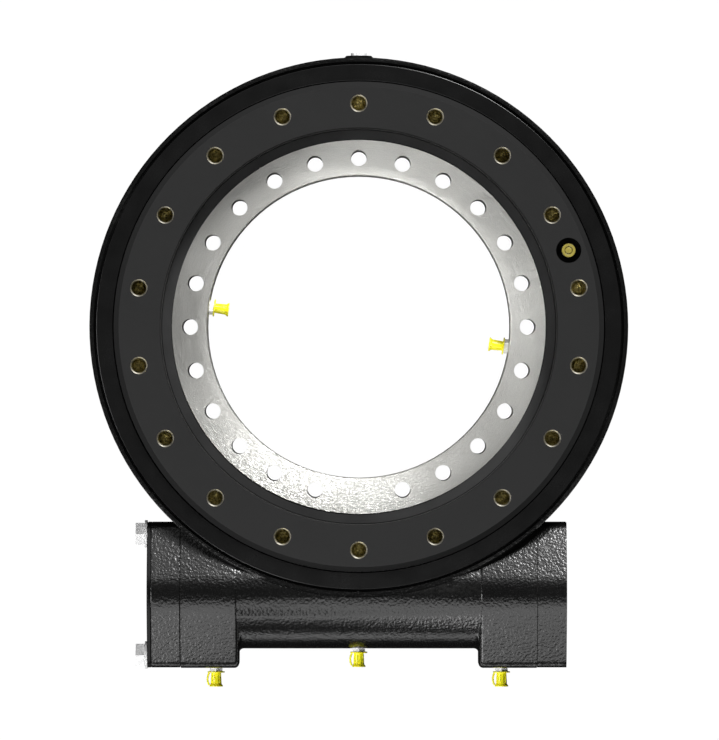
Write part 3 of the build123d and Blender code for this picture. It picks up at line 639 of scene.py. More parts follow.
@dataclass(frozen=True)
class PlatedSteel(Finish):
    """Zinc plating or black oxide, with crystal patches and lighter edges, partly rubbing and
    partly painted highlight.
    """

    cells: float = 900.0
    grit: float = 3.5  # specks of grit to a patch
    breaks: float = 1 / 3  # breaks of the edge sheen and rubbing to a patch
    sheen_rubbing_lift: float = 1.25  # tone of the lighter edges, painted highlight and rubbing, of the lighter tone

    def surface(self, wiring: Wiring) -> tuple[Socket, Socket, Socket]:
        """Gives each crystal patch its own tone and gloss.

        Args:
            wiring: Helper on the material's tree.

        Returns:
            Sockets of colour, roughness and height.
        """
        plating = Spangle().place(wiring, Cell_Scale=self.cells, Grit_Scale=self.grit * self.cells)
        # lighter bulging edges: painted highlight, partly rubbing
        sheen_rubbing = EdgeSheenAndRubbing().place(wiring, Break_Scale=self.breaks * self.cells)
        tone = wiring.blend(plating["Tone"], (*self.dark, 1.0), (*self.light, 1.0))
        bright = tuple(min(1.0, self.sheen_rubbing_lift * part) for part in self.light)
        colour = wiring.blend(sheen_rubbing["Mask"], tone, (*bright, 1.0))
        return colour, wiring.spread(plating["Tone"], self.rough, self.smooth), plating["Height"]


@dataclass(frozen=True)
class MouldedSkin(Finish):
    """Rubber, plastic or paper with a fine moulded or fibrous skin."""

    skin: float = 1800.0
    pits: float = 2.0  # pits to a grain of the skin
    cloud: float = 40.0

    def surface(self, wiring: Wiring) -> tuple[Socket, Socket, Socket]:
        """Adds a cloudy tone, with a fine skin as relief.

        Args:
            wiring: Helper on the material's tree.

        Returns:
            Sockets of colour, roughness and height.
        """
        tone = Mottle().place(wiring, **self.tones(), Cloud_Scale=self.cloud,
                              Fleck_Scale=self.skin)
        grain = CastGrain().place(wiring, Grain_Scale=self.skin, Pit_Scale=self.pits * self.skin,
                                  Swell_Scale=self.cloud)
        return tone["Color"], wiring.spread(tone["Mask"], self.smooth, self.rough), grain["Height"]


def grey(level: float) -> Rgb:
    """Neutral tone."""
    return (level, level, level)


CAST_BLACK = CastPaint(
    Slot.CAST_BLACK, "cast_black_paint", (0.0034, 0.0034, 0.0033), grey(0.0016),
    smooth=0.22, rough=0.29, bump=0.34 * MM, grain=430.0)
COVER_BLACK = CastPaint(
    Slot.SMOOTH_BLACK, "smooth_black_paint", grey(0.0020), grey(0.0012),
    smooth=0.30, rough=0.40, bump=0.03 * MM, gloss=0.15, grain=700.0)
# the darker tone on its faces that don't look up is painted shade
RING_PAINT = TurnedMetal(
    Slot.RING_PAINT, "ring_paint", grey(0.0145), grey(0.0120),
    smooth=0.34, rough=0.39, bump=0.006 * MM, gloss=0.35, painted_shade_tone=grey(0.0015))
GROUND_STEEL = TurnedMetal(
    Slot.GROUND_STEEL, "ground_steel", (0.93, 0.925, 0.885), (0.70, 0.695, 0.655),
    smooth=0.32, rough=0.40, bump=0.36 * MM, metallic=0.92, marks=3000.0, arc=36.0)
RIM_STEEL = TurnedMetal(
    Slot.GROUND_STEEL, "chamfer_steel", (0.62, 0.60, 0.54), (0.44, 0.42, 0.37),
    smooth=0.34, rough=0.44, bump=0.02 * MM, metallic=1.0)
WORM_STEEL = TurnedMetal(
    Slot.WORM_STEEL, "worm_steel", (0.62, 0.61, 0.60), (0.48, 0.47, 0.46),
    smooth=0.22, rough=0.34, bump=0.008 * MM, metallic=1.0, around=Around.WORM, centre=WORM_LINE)
BEARING_STEEL = TurnedMetal(
    Slot.BEARING_STEEL, "bearing_steel", grey(0.70), (0.60, 0.60, 0.61),
    smooth=0.12, rough=0.22, bump=0.004 * MM, metallic=1.0, around=Around.WORM, centre=WORM_LINE,
    marks=5000.0)
RACE_STEEL = TurnedMetal(
    Slot.BEARING_STEEL, "race_ball_steel", (0.72, 0.72, 0.73), (0.64, 0.64, 0.65),
    smooth=0.06, rough=0.12, bump=0.001 * MM, metallic=1.0, marks=5000.0)
CUT_STEEL = TurnedMetal(
    Slot.GROUND_STEEL, "cut_thread_steel", (0.95, 0.86, 0.52), (0.10, 0.085, 0.035),
    smooth=0.26, rough=0.50, bump=0.22 * MM, metallic=1.0, marks=900.0, arc=12.0, fleck=700.0)
PRESSED_STEEL = PlatedSteel(
    Slot.PRESSED_STEEL, "pressed_steel", (0.56, 0.55, 0.53), (0.40, 0.39, 0.38),
    smooth=0.28, rough=0.42, bump=0.01 * MM, metallic=1.0, cells=1500.0)
BLACK_OXIDE = PlatedSteel(
    Slot.BLACK_OXIDE, "black_oxide_steel", (0.075, 0.074, 0.072), (0.045, 0.045, 0.046),
    smooth=0.32, rough=0.48, bump=0.01 * MM, metallic=0.8, cells=1200.0)
ZINC = PlatedSteel(
    Slot.ZINC, "zinc_plate", grey(0.98), grey(0.70),
    smooth=0.60, rough=0.75, bump=0.12 * MM, metallic=0.35, cells=600.0)
RUBBER = MouldedSkin(
    Slot.RUBBER, "black_rubber", grey(0.0052), grey(0.0040),
    smooth=0.22, rough=0.28, bump=0.004 * MM, gloss=0.25)
# painted light: a lighter rubber tone that makes up for the shade the turning ring's wall casts on
# the inner seal
PAINTED_LIGHT_RUBBER = MouldedSkin(
    Slot.RUBBER, "painted_light_seal_rubber", grey(0.030), grey(0.024),
    smooth=0.40, rough=0.48, bump=0.004 * MM, gloss=0.3)
GASKET = MouldedSkin(
    Slot.GASKET, "gasket_paper", (0.012, 0.011, 0.009), (0.006, 0.005, 0.004),
    smooth=0.80, rough=0.92, bump=0.03 * MM, skin=2600.0)
YELLOW = MouldedSkin(
    Slot.YELLOW, "yellow_plastic", (0.98, 0.92, 0.020), (0.84, 0.77, 0.012),
    smooth=0.24, rough=0.34, bump=0.01 * MM, glow=0.08, skin=1400.0)
# painted shade: a darker copy of the yellow plastic, for the cap deep in the turning face's recess
SHADED_YELLOW = MouldedSkin(
    Slot.YELLOW, "shaded_yellow_plastic", (0.24, 0.20, 0.035), (0.19, 0.155, 0.025),
    smooth=0.34, rough=0.44, bump=0.01 * MM, skin=1400.0)
CAGE_PLASTIC = MouldedSkin(
    Slot.CAGE_PLASTIC, "cage_plastic", (0.62, 0.56, 0.42), (0.52, 0.46, 0.34),
    smooth=0.38, rough=0.5, bump=0.02 * MM, glow=0.1)


class Sculpt:
    """A mesh in the making, turned into a piece when it is done."""

    def __init__(self) -> None:
        """Starts with an empty mesh."""
        self.mesh = bmesh.new()

    def spin(self, outline: Profile, segments: int, rounding: float = 0.0,
             closed: bool = True) -> "Sculpt":
        """Turns an outline about Z.

        Args:
            outline: (radius, height) corners.
            segments: Steps of the full turn.
            rounding: Radius of the outline's corners.
            closed: Whether the outline's ends are joined.

        Returns:
            This sculpt.
        """
        start = [self.mesh.verts.new((radius, 0.0, height)) for radius, height in outline]
        pairs = list(zip(start, start[1:])) + ([(start[-1], start[0])] if closed else [])
        edges = [self.mesh.edges.new(pair) for pair in pairs]
        if rounding:
            inner = [vertex for vertex in start
                     if vertex.co.x > WELD and len(vertex.link_edges) == 2]
            self.bevel(inner, rounding, "VERTICES")
            edges = [edge for edge in self.mesh.edges if edge.is_wire]
            start = sorted({vertex for edge in edges for vertex in edge.verts},
                           key=lambda vertex: vertex.index)
        bmesh.ops.spin(self.mesh, geom=start + edges, cent=(0, 0, 0), axis=(0, 0, 1),
                       angle=2 * math.pi, steps=segments, use_merge=True)
        return self.settle()

    def hexagon(self, corner_radius: float, height: float, side_cuts: int = 7,
                crown_share: float = 0.97, crown_slope: float = 30.0) -> "Sculpt":
        """Makes an upright hexagon bar on z = 0, with its upper corners turned down by a cone.

        Args:
            corner_radius: Radius of its corners.
            height: Height of the bar.
            side_cuts: Points along each side that the cone can lower.
            crown_share: Radius where the cone starts, of that of the flat sides.
            crown_slope: Slope of the cone in degrees.

        Returns:
            This sculpt.
        """
        bmesh.ops.create_circle(self.mesh, cap_ends=True, segments=6, radius=corner_radius)
        bmesh.ops.subdivide_edges(self.mesh, edges=self.mesh.edges, cuts=side_cuts)
        base = self.mesh.faces[:]
        lifted = bmesh.ops.extrude_face_region(self.mesh, geom=base)["geom"]
        top = [part for part in lifted if isinstance(part, bmesh.types.BMVert)]
        bmesh.ops.translate(self.mesh, verts=top, vec=(0.0, 0.0, height))
        cap = [part for part in lifted if isinstance(part, bmesh.types.BMFace)]
        turned = corner_radius * math.cos(math.pi / 6) * crown_share
        bmesh.ops.inset_region(self.mesh, faces=cap, thickness=corner_radius - turned, depth=0.0)
        slope = math.tan(math.radians(crown_slope))
        for vertex in top:
            vertex.co.z -= max(0.0, vertex.co.xy.length - turned) * slope
        return self.settle()

    def block(self, size: Sequence[float]) -> "Sculpt":
        """Makes a block of a size about the origin."""
        bmesh.ops.create_cube(self.mesh, size=1.0, matrix=Matrix.Diagonal((*size, 1.0)))
        return self

    def settle(self) -> "Sculpt":
        """Merges doubles and makes the faces point outwards.

        Returns:
            This sculpt.
        """
        bmesh.ops.remove_doubles(self.mesh, verts=self.mesh.verts, dist=WELD)
        bmesh.ops.recalc_face_normals(self.mesh, faces=self.mesh.faces)
        return self

    def bevel(self, parts: list, width: float, affect: str) -> None:
        """Rounds some edges or corners of the mesh.

        Args:
            parts: The edges or vertices.
            width: Width of the bevel.
            affect: "EDGES" or "VERTICES".
        """
        bmesh.ops.bevel(self.mesh, geom=parts, offset=width, offset_type="OFFSET",
                        segments=BEVEL_STEPS[affect], profile=0.5, affect=affect,
                        clamp_overlap=True, material=-1)

    def bevel_edges(self, width: float) -> "Sculpt":
        """Rounds every sharp edge.

        Args:
            width: Width of the bevel.

        Returns:
            This sculpt.
        """
        limit = math.radians(SHARP_ANGLE)
        self.bevel([edge for edge in self.mesh.edges
                    if len(edge.link_faces) == 2 and edge.calc_face_angle(0.0) > limit],
                   width, "EDGES")
        return self

    def add(self, other: "Sculpt", place: Matrix | None = None) -> "Sculpt":
        """Adds a copy of another sculpt's mesh.

        Args:
            other: The sculpt to copy.
            place: Place of the copy, if it is moved.

        Returns:
            This sculpt.
        """
        held = bpy.data.meshes.new("held")
        other.mesh.to_mesh(held)
        if place is not None:
            held.transform(place)
        self.mesh.from_mesh(held)
        bpy.data.meshes.remove(held)
        return self

    def repeat(self, other: "Sculpt", places: list[Matrix]) -> "Sculpt":
        """Adds a copy of another sculpt's mesh at each place.

        Args:
            other: The sculpt to copy.
            places: Places of the copies.

        Returns:
            This sculpt.
        """
        for place in places:
            self.add(other, place)
        return self

    def move(self, place: Matrix) -> "Sculpt":
        """Moves the whole mesh."""
        bmesh.ops.transform(self.mesh, matrix=place, verts=self.mesh.verts)
        return self

    def piece(self, name: str, body: Body, finish: Finish, node: str | None = None,
              crease: float = 35.0) -> None:
        """Makes the piece, lets it ride on a body and gives it its finish.

        Args:
            name: Name of the piece.
            body: Body that it moves with.
            finish: Its surface.
            node: Name of the carried-over node that it stands for, if it does.
            crease: Angle in degrees above which an edge stays sharp in the shading.
        """
        limit = math.radians(crease)
        for face in self.mesh.faces:
            face.smooth = True
        for edge in self.mesh.edges:
            edge.smooth = len(edge.link_faces) == 2 and edge.calc_face_angle(0.0) < limit
        data = bpy.data.meshes.new(name)
        self.mesh.to_mesh(data)
        self.mesh.free()
        made = bpy.data.objects.new(name, data)
        bpy.context.scene.collection.objects.link(made)
        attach(made, body.value)
        if node:
            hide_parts(node)
        finish.dress(made)


def thread(root: float, crest: float, start: float, pitch: float, turns: int) -> Profile:
    """Outline of a thread's turns as (radius, height) corners.

    Args:
        root: Radius that each turn starts at.
        crest: Radius in the middle of each turn.
        start: Height of the first turn.
        pitch: Height of one turn.
        turns: Number of turns.

    Returns:
        Two corners for each turn, upwards.
    """
    lows = [turn * pitch + start for turn in range(turns)]
    return [corner for low in lows for corner in ((root, low), (crest, low + pitch / 2))]


def seat(origin: Sequence[float], outwards: Sequence[float],
         side: Sequence[float] = (1, 0, 0)) -> Matrix:
    """Place whose local Z looks outwards from a surface and whose local X lies along side.

    Args:
        origin: Point on the surface.
        outwards: Direction out of it.
        side: Direction of local X.

    Returns:
        The placing matrix.
    """
    up = Vector(outwards).normalized()
    along = Vector(side)
    along = (along - along.dot(up) * up).normalized()
    turn = Matrix((along, up.cross(along), up)).transposed().to_4x4()
    return Matrix.Translation(origin) @ turn


def around_slew(angle: float) -> Matrix:
    """Turn about the slewing axis by an angle in degrees."""
    return Matrix.Rotation(math.radians(angle), 4, "Z")


def dress_solids(finish: Finish, *nodes: str) -> None:
    """Gives a finish to carried-over nodes."""
    finish.dress(*(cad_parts[node] for node in nodes))


def ease_solid(node: str, body: Body, finish: Finish, ease: float, crease: float = 18.0) -> None:
    """Copies a node's solid, joins its facets and eases its sharp edges, and stands for the node.

    Args:
        node: Name of the carried-over node.
        body: Body that it rides on.
        finish: Surface of the copy.
        ease: Width of the eased edges.
        crease: Angle in degrees above which an edge stays sharp in the shading.
    """
    sculpt = Sculpt()
    mesh = sculpt.mesh
    mesh.from_mesh(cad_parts[node].data)
    bmesh.ops.remove_doubles(mesh, verts=mesh.verts, dist=SOLID_WELD)
    bmesh.ops.dissolve_limit(mesh, angle_limit=math.radians(FLAT_ANGLE), verts=mesh.verts,
                             edges=mesh.edges, use_dissolve_boundaries=False, delimit={"NORMAL"})
    sculpt.bevel_edges(ease)
    bmesh.ops.triangulate(mesh, faces=[face for face in mesh.faces if len(face.verts) > 4])
    sculpt.piece(node + "_eased", body, finish, node, crease)


@dataclass
class Casting:
    """Black cast housing with its end covers and gaskets."""

    edge: float = 0.9 * MM
    cover_edge: float = 0.6 * MM

    def build(self) -> None:
        """Eases the castings' edges and paints them."""
        ease_solid("housing", Body.HOUSING, CAST_BLACK, self.edge)
        for cover, finish in (("motor_flange", CAST_BLACK), ("bearing_cap", CAST_BLACK),
                              ("port_cover_plate", COVER_BLACK)):
            ease_solid(cover, Body.HOUSING, finish, self.cover_edge)
        dress_solids(GASKET, "motor_flange_gasket", "bearing_cap_gasket")


@dataclass
class RingSet:
    """Turning ring, fixed ring, race and the two ring seals."""

    edge: float = 0.35 * MM
    crease: float = 10.0

    def build(self) -> None:
        """Eases the rings' edges and gives each its finish."""
        ease_solid("toothed_ring", Body.RING, RING_PAINT, self.edge, self.crease)
        ease_solid("fixed_ring", Body.HOUSING, GROUND_STEEL, self.edge, self.crease)
        ease_solid("outer_seal", Body.HOUSING, RUBBER, self.edge)
        # the inner seal's lighter rubber is painted light against the shade of its well
        ease_solid("inner_seal", Body.HOUSING, PAINTED_LIGHT_RUBBER, self.edge)
        dress_solids(RACE_STEEL, "race_balls")
        dress_solids(CAGE_PLASTIC, "ball_cage")
        dress_solids(GROUND_STEEL, "filler_plug")
        dress_solids(WORM_STEEL, "filler_plug_pin")
        dress_solids(BLACK_OXIDE, "fixed_ring_screws")


@dataclass
class WormSet:
    """Worm shaft, its two bearings, its seal and the screws of its covers."""

    def build(self) -> None:
        """Gives the inner pieces their finishes."""
        dress_solids(WORM_STEEL, "worm_shaft")
        for side in ("motor_side", "far_side"):
            dress_solids(BEARING_STEEL, f"{side}_bearing_cup", f"{side}_bearing_cone",
                         f"{side}_rollers")
            dress_solids(PRESSED_STEEL, f"{side}_roller_cage")
        dress_solids(RUBBER, "shaft_seal")
        dress_solids(BLACK_OXIDE, "motor_flange_screws", "bearing_cap_screws")


@dataclass
class GreaseNipple:
    """Grease nipple with a threaded stem, a hexagon and a grooved head, on local z = 0."""

    hex_radius: float = 6.35 * MM
    hex_height: float = 3.6 * MM
    thread_radius: float = 5.0 * MM
    thread_root: float = 4.5 * MM
    thread_pitch: float = 1.0 * MM
    thread_turns: int = 7
    head_radius: float = 3.25 * MM
    head_low: float = 6.48 * MM
    head_high: float = 8.424 * MM
    tip_share: float = 0.55
    collar: float = 0.4 * MM
    neck_slope: float = 1.0 * MM
    neck_radius: float = 2.4 * MM
    neck_top: float = 5.4 * MM
    height: float = 10.8 * MM
    valve_radius: float = 0.8 * MM
    valve_share: float = 0.8
    segments: int = 32

    def build(self) -> Sculpt:
        """Turns the stem and head, and adds the hexagon.

        Returns:
            The nipple's mesh.
        """
        reach = self.thread_turns * self.thread_pitch
        shoulder = self.hex_height + self.collar
        valve = self.height - self.valve_radius
        outline = [
            (0.0, -reach),
            *thread(self.thread_root, self.thread_radius, -reach, self.thread_pitch,
                    self.thread_turns),
            (self.thread_root, 0.0),
            (self.head_radius, 0.0),
            (self.head_radius, shoulder),
            (self.neck_radius, shoulder + self.neck_slope),
            (self.neck_radius, self.neck_top),
            (self.head_radius, self.head_low),
            (self.head_radius, self.head_high),
            (self.head_radius * self.tip_share, self.height),
            (self.valve_radius, self.height),
            (self.valve_radius * self.valve_share, valve),
            (0.0, valve),
        ]
        made = Sculpt().spin(outline, self.segments, closed=False)
        return made.add(Sculpt().hexagon(self.hex_radius, self.hex_height))


@dataclass
class NippleCap:
    """Yellow plastic cap with ribs, an end groove and, on most, a retaining ring with its strap."""

    foot: float = 3.65 * MM
    height: float = 17.0 * MM
    bore_radius: float = 3.45 * MM
    bore_top: float = 12.0 * MM
    ring_radius: float = 7.5 * MM
    ring: float = 1.1 * MM
    neck_radius: float = 3.95 * MM
    waist_radius: float = 4.5 * MM
    flange_radius: float = 5.95 * MM
    flange: float = 1.8 * MM
    groove_radius: float = 3.2 * MM
    groove: float = 0.7 * MM
    edge: float = 0.22 * MM
    rib_count: int = 10
    rib: float = 0.35 * MM
    rib_edge: float = 0.21 * MM
    strap_reach: float = 8.4 * MM
    strap_arc: float = 11.5 * MM
    strap: float = 1.7 * MM
    strap_edge: float = 0.51 * MM
    strap_width: float = 3.0 * MM
    strap_steps: int = 14
    segments: int = 40

    def build(self, tethered: bool) -> Sculpt:
        """Turns the cap, then adds its ribs and its strap.

        Args:
            tethered: Whether the cap has the retaining ring and strap.

        Returns:
            The cap's mesh.
        """
        under = self.height - self.flange
        ring = self.ring_radius if tethered else self.neck_radius + self.rib
        outline = [
            (self.bore_radius, self.foot),
            (ring, self.foot),
            (ring, self.foot + self.ring),
            (self.neck_radius, self.foot + self.ring),
            (self.waist_radius, under - self.flange / 2),
            (self.flange_radius, under + self.flange / 2),
            (self.flange_radius, self.height),
            (self.groove_radius + self.groove / 2, self.height - self.rib),
            (self.groove_radius + self.groove / 2, under),
            (self.groove_radius - self.groove / 2, under),
            (self.groove_radius - self.groove / 2, self.height - self.rib),
            (0.0, self.height - self.rib / 2),
            (0.0, self.bore_top),
            (self.bore_radius, self.bore_top),
        ]
        made = Sculpt().spin(outline, self.segments, rounding=self.edge)
        self.add_ribs(made, under)
        return made.add(self.build_strap()) if tethered else made

    def add_ribs(self, cap: Sculpt, under: float) -> None:
        """Adds the upright ribs around the cap's waist.

        Args:
            cap: The cap in the making.
            under: Height of the flange's underside.
        """
        low = self.foot + self.ring
        length = under - low
        bar = Sculpt().block((self.rib * 2, self.rib * 2, length))
        lean = math.atan2(self.waist_radius - self.neck_radius, length)
        bar.bevel_edges(self.rib_edge).move(Matrix.Rotation(lean, 4, "Y"))
        middle = Vector(((self.neck_radius + self.waist_radius) / 2, 0.0, (low + under) / 2))
        turns = [around_slew(360.0 * index / self.rib_count) for index in range(self.rib_count)]
        cap.repeat(bar, [turn @ Matrix.Translation(middle) for turn in turns])

    def build_strap(self) -> Sculpt:
        """Bends the strap from the retaining ring out to the end flange.

        Returns:
            The strap's mesh.
        """
        half_chord = (self.height - self.foot) / 2 - self.flange / 2
        swing = 2 * math.asin(half_chord / self.strap_arc)
        radius = self.strap_arc - self.strap / 2
        made = Sculpt()
        points = [made.mesh.verts.new((radius + x * self.strap / 2, y * self.strap_width / 2, 0.0))
                  for x, y in ((-1, -1), (1, -1), (1, 1), (-1, 1))]
        face = made.mesh.faces.new(points)
        made.bevel(list(face.verts), self.strap_edge, "VERTICES")
        whole = [*made.mesh.verts, *made.mesh.edges, *made.mesh.faces]
        bmesh.ops.spin(made.mesh, geom=whole, cent=(0, 0, 0), axis=(0, 1, 0), angle=swing,
                       steps=self.strap_steps)
        centre = Vector((self.strap_arc - self.strap_reach, 0.0, (self.foot + self.height) / 2))
        turn = Matrix.Rotation(math.pi - swing / 2, 4, "Y")
        return made.move(Matrix.Translation(centre) @ turn).settle()


@dataclass
class NippleSets:
    """The six grease nipples with their caps."""

    cap: NippleCap
    nipple: GreaseNipple
    tube_seat: float = 46.78 * MM
    bore_angles: tuple[float, float] = (172.5, 352.5)
    bore_radius: float = 132.4 * MM
    race_height: float = 42.0 * MM
    face_angle: float = 20.0
    face_radius: float = 195.0 * MM
    face_recess: float = 20.0 * MM

    def worm_places(self) -> list[Matrix]:
        """Places of the three nipples under the worm housing.

        Returns:
            The places.
        """
        low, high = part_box("worm_nipples")
        reach = (high.x - low.x) / 2 - self.nipple.hex_radius
        outer = low.y + self.nipple.height
        spots = ((-reach, outer), (0.0, WORM_LINE[1] - self.tube_seat), (reach, outer))
        return [seat((x, y, WORM_LINE[2]), (0, -1, 0)) for x, y in spots]

    def bore_places(self) -> list[Matrix]:
        """Places of the two nipples in the bore.

        Returns:
            The places.
        """
        places = []
        for angle in self.bore_angles:
            out = around_slew(angle) @ Vector((1.0, 0.0, 0.0))
            spot = out * self.bore_radius + Vector((0.0, 0.0, self.race_height))
            places.append(seat(spot, -out, (0, 0, -1)))
        return places

    def face_places(self) -> list[Matrix]:
        """Place of the nipple in the turning face.

        Returns:
            The one place.
        """
        spot = around_slew(self.face_angle) @ Vector((self.face_radius, 0.0, 0.0))
        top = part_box("toothed_ring")[1].z
        return [Matrix.Translation((spot.x, spot.y, top - self.face_recess))]

    def build(self) -> None:
        """Makes each group of nipples and caps in place of its nodes."""
        groups = (
            ("worm", self.worm_places(), Body.HOUSING, True, YELLOW),
            ("bore", self.bore_places(), Body.HOUSING, True, YELLOW),
            # the face cap's darker yellow is painted shade of its recess
            ("face", self.face_places(), Body.RING, False, SHADED_YELLOW),
        )
        for group, places, body, tethered, plastic in groups:
            plural = "s" if len(places) > 1 else ""
            Sculpt().repeat(self.nipple.build(), places).piece(
                f"{group}_grease_nipples", body, ZINC, f"{group}_nipple{plural}")
            Sculpt().repeat(self.cap.build(tethered), places).piece(
                f"{group}_yellow_caps", body, plastic, f"{group}_nipple_cap{plural}")


@dataclass
class PortBolts:
    """Zinc-plated hexagon bolts and washers of the port cover."""

    spacing: float = 106.4 * MM
    hex_radius: float = 10.97 * MM
    head: float = 8.0 * MM
    collar_radius: float = 8.9 * MM
    collar: float = 0.6 * MM
    shank_radius: float = 6.0 * MM
    thread_root: float = 5.2 * MM
    pitch: float = 1.75 * MM
    washer_radius: float = 12.0 * MM
    washer_hole: float = 6.75 * MM
    washer: float = 2.5 * MM
    washer_edge: float = 0.3 * MM
    segments: int = 48

    def places(self, start: float) -> list[Matrix]:
        """Places at x = start whose local Z looks out of the port."""
        return [seat((start, WORM_LINE[1] + side * self.spacing / 2, WORM_LINE[2]), (-1, 0, 0),
                     (0, 1, 0)) for side in (-1, 1)]

    def build(self) -> None:
        """Makes the bolts and washers in place of their nodes."""
        low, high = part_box("port_bolts")
        under_head = low.x + self.head
        reach = high.x - under_head
        turns = int(reach / self.pitch)
        bolt = Sculpt().spin([
            (0.0, -reach),
            *thread(self.thread_root, self.shank_radius, -reach, self.pitch, turns),
            (self.shank_radius, 0.0),
            (self.collar_radius, 0.0),
            (self.collar_radius, self.collar),
            (0.0, self.collar),
        ], self.segments, closed=False)
        head = Sculpt().hexagon(self.hex_radius, self.head - self.collar)
        bolt.add(head, Matrix.Translation((0.0, 0.0, self.collar)))
        washer = Sculpt().spin([
            (self.washer_hole, 0.0),
            (self.washer_radius, 0.0),
            (self.washer_radius, self.washer),
            (self.washer_hole, self.washer),
        ], self.segments, rounding=self.washer_edge)
        for one, start, name, node in (
                (bolt, under_head, "port_hex_bolts", "port_bolts"),
                (washer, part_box("port_washers")[1].x, "port_flat_washers", "port_washers")):
            Sculpt().repeat(one, self.places(start)).piece(name, Body.HOUSING, ZINC, node)


@dataclass
class TappedHoles:
    """Bright chamfers, threads and drill points of the tapped holes in the turning face."""

    count: int = 18
    first_angle: float = 90.0
    circle: float = 195.0 * MM
    wall: float = 6.59 * MM
    crest: float = 6.15 * MM
    mouth: float = 7.58 * MM
    depth: float = 24.0 * MM
    pitch: float = 2.0 * MM
    point: float = 3.96 * MM
    skin: float = 0.02 * MM
    segments: int = 36

    def places(self) -> list[Matrix]:
        """Places of the holes' mouths on the turning face.

        Returns:
            The places.
        """
        mouth = Matrix.Translation((self.circle, 0.0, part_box("toothed_ring")[1].z))
        step = 360.0 / self.count
        return [around_slew(self.first_angle + step * index) @ mouth for index in range(self.count)]

    def build_thread(self) -> Sculpt:
        """Turns the lining with the thread and the drill point.

        Returns:
            The lining of one hole.
        """
        inside = self.wall - self.skin
        under = self.wall - self.mouth
        low = self.pitch - self.depth
        turns = int((self.depth - 2 * self.pitch) / self.pitch)
        return Sculpt().spin([
            (0.0, self.skin - self.depth - self.point),
            (inside, self.skin - self.depth),
            *thread(inside, self.crest, low, self.pitch, turns),
            (inside, low + turns * self.pitch),
            (inside, under),
            (self.wall, under),
            (self.wall, -self.depth),
            (0.0, -self.depth - self.point),
        ], self.segments, closed=False)

    def build_chamfer(self) -> Sculpt:
        """Turns the bright skin on the chamfer.

        Returns:
            The chamfer of one hole.
        """
        under = self.wall - self.mouth
        return Sculpt().spin([
            (self.wall - self.skin, under),
            (self.mouth - self.skin, 0.0),
            (self.mouth, 0.0),
            (self.wall, under),
        ], self.segments)

    def build(self) -> None:
        """Repeats the lining and the chamfer around the face."""
        for one, name, finish in ((self.build_thread(), "tapped_hole_threads", CUT_STEEL),
                                  (self.build_chamfer(), "tapped_hole_chamfers", RIM_STEEL)):
            Sculpt().repeat(one, self.places()).piece(name, Body.RING, finish)


@dataclass
class ReliefPlug:
    """Slotted plug on the rim's boss."""

    edge: float = 0.25 * MM

    def build(self) -> None:
        """Eases the plug's edges."""
        ease_solid("relief_plug", Body.HOUSING, ZINC, self.edge)


@dataclass
class Panel:
    """One soft rectangular studio light that looks at the drive.

    Attributes:
        name: Name of the light.
        tilt: Angle in degrees between the panel's direction and straight up, towards +Y if
            positive.
        swing: Angle in degrees that turns the panel's direction about Z.
        distance: Distance from the middle of the drive.
        size: Width along X and height.
        glow: Brightness of the panel's surface.
        shift: How far the panel is moved along X.
        facing: Angle in degrees that the panel's back is tipped from straight up, if the panel
            doesn't look at the drive.
    """

    name: str
    tilt: float
    swing: float
    distance: float
    size: tuple[float, float]
    glow: float
    shift: float = 0.0
    facing: float | None = None

    def build(self) -> None:
        """Makes the light."""
        light = bpy.data.lights.new(self.name, "AREA")
        light.shape = "RECTANGLE"
        light.size, light.size_y = self.size
        light.energy = self.glow * math.pi * self.size[0] * self.size[1]
        lamp = bpy.data.objects.new(self.name, light)
        tilt = math.radians(self.tilt)
        away = around_slew(self.swing) @ Vector((0.0, math.sin(tilt), math.cos(tilt)))
        back = away
        if self.facing is not None:
            turn = math.radians(self.facing)
            back = Vector((0.0, math.sin(turn), math.cos(turn)))
        lamp.matrix_world = seat(away * self.distance + Vector((self.shift, 0.0, 0.0)), back)
        lamp.visible_camera = False
        bpy.context.scene.collection.objects.link(lamp)


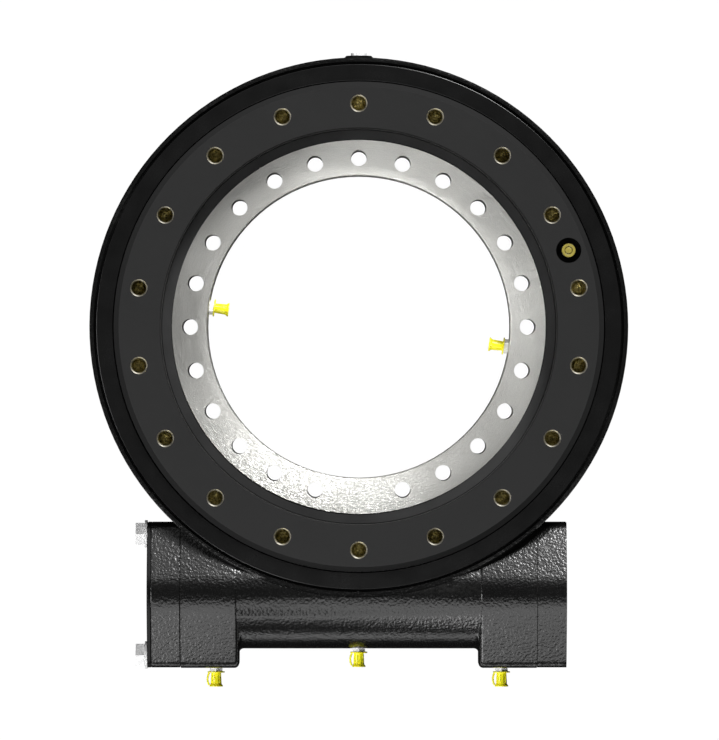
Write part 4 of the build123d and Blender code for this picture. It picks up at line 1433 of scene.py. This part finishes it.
@dataclass
class Studio:
    """Camera, floor, surroundings and lights."""

    camera_place: tuple[float, float, float] = (0.0006, -0.0378, 7.603)
    lens: float = 418.0
    sensor: float = 36.0
    sight: float = 100.0
    floor_reach: float = 9.0
    floor_segments: int = 96
    floor_depth: float = 0.2 * MM
    floor_tone: float = 0.015
    floor_rough: float = 0.9
    sky: float = 0.02
    panels: tuple[Panel, ...] = (
        Panel("panel_lower", -39.0, 0.0, 2.2, (2.2, 1.3), 2.5, shift=-0.4),
        Panel("panel_upper", 43.0, 0.0, 2.2, (2.2, 1.2), 1.0, shift=-0.3),
        Panel("panel_key", 56.0, -23.0, 6.0, (2.1, 2.1), 46.0),
        Panel("panel_fill", -60.0, -23.0, 6.0, (2.1, 2.1), 8.0),
        Panel("panel_side", -54.0, -82.0, 6.0, (2.1, 2.1), 11.0),
        Panel("panel_ground", -89.7, 0.0, 1.06, (2.4, 1.08), 2.4, facing=180.0),
    )

    def build(self) -> None:
        """Makes everything that lights and shows the drive."""
        self.build_camera()
        self.build_floor()
        self.build_world()
        for panel in self.panels:
            panel.build()

    def build_camera(self) -> None:
        """Long lens straight above the drive, as in the photograph."""
        scene = bpy.context.scene
        data = bpy.data.cameras.new("camera")
        data.lens = self.lens
        data.sensor_width = self.sensor
        data.clip_end = self.sight
        camera = bpy.data.objects.new("camera", data)
        camera.location = self.camera_place
        scene.collection.objects.link(camera)
        scene.camera = camera
        scene.view_settings.view_transform = "Standard"

    def build_floor(self) -> None:
        """Floor at the fixed mounting face: pale to the eye, and dim in reflections."""
        mesh = bmesh.new()
        bmesh.ops.create_circle(mesh, cap_ends=True, segments=self.floor_segments,
                                radius=self.floor_reach)
        data = bpy.data.meshes.new("floor")
        mesh.to_mesh(data)
        mesh.free()
        floor = bpy.data.objects.new("floor", data)
        floor.location.z = -self.floor_depth
        bpy.context.scene.collection.objects.link(floor)
        material = bpy.data.materials.new("floor")
        material.use_nodes = True
        wiring = Wiring(material.node_tree)
        seen = wiring.node("LightPath").outputs["Is Camera Ray"]
        pale = wiring.node("BsdfPrincipled")
        for label, value in (("Base Color", (*grey(self.floor_tone), 1.0)),
                             ("Roughness", self.floor_rough), ("Specular IOR Level", 0.0),
                             ("Emission Color", seen), ("Emission Strength", 1.0)):
            wiring.feed(pale.inputs[label], value)
        wiring.link(pale.outputs[0], wiring.node("OutputMaterial").inputs["Surface"])
        data.materials.append(material)

    def build_world(self) -> None:
        """White surroundings to the eye, and dim ones in reflections."""
        world = bpy.data.worlds.new("studio")
        bpy.context.scene.world = world
        world.use_nodes = True
        wiring = Wiring(world.node_tree)
        seen = wiring.node("LightPath").outputs["Is Camera Ray"]
        background = wiring.node("Background")
        background.inputs["Color"].default_value = (1.0, 1.0, 1.0, 1.0)
        wiring.link(wiring.spread(seen, self.sky, 1.0), background.inputs["Strength"])
        wiring.link(background.outputs[0], wiring.node("OutputWorld").inputs["Surface"])


def main() -> None:
    """Builds every group of pieces in order."""
    logging.basicConfig(level=logging.INFO, format="%(message)s")
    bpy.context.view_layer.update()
    nipples = NippleSets(NippleCap(), GreaseNipple())
    groups = (Studio(), Casting(), RingSet(), WormSet(), nipples, PortBolts(), TappedHoles(),
              ReliefPlug())
    for group in groups:
        group.build()
        log.info("built %s", type(group).__name__)


if __name__ == "__main__":
    main()
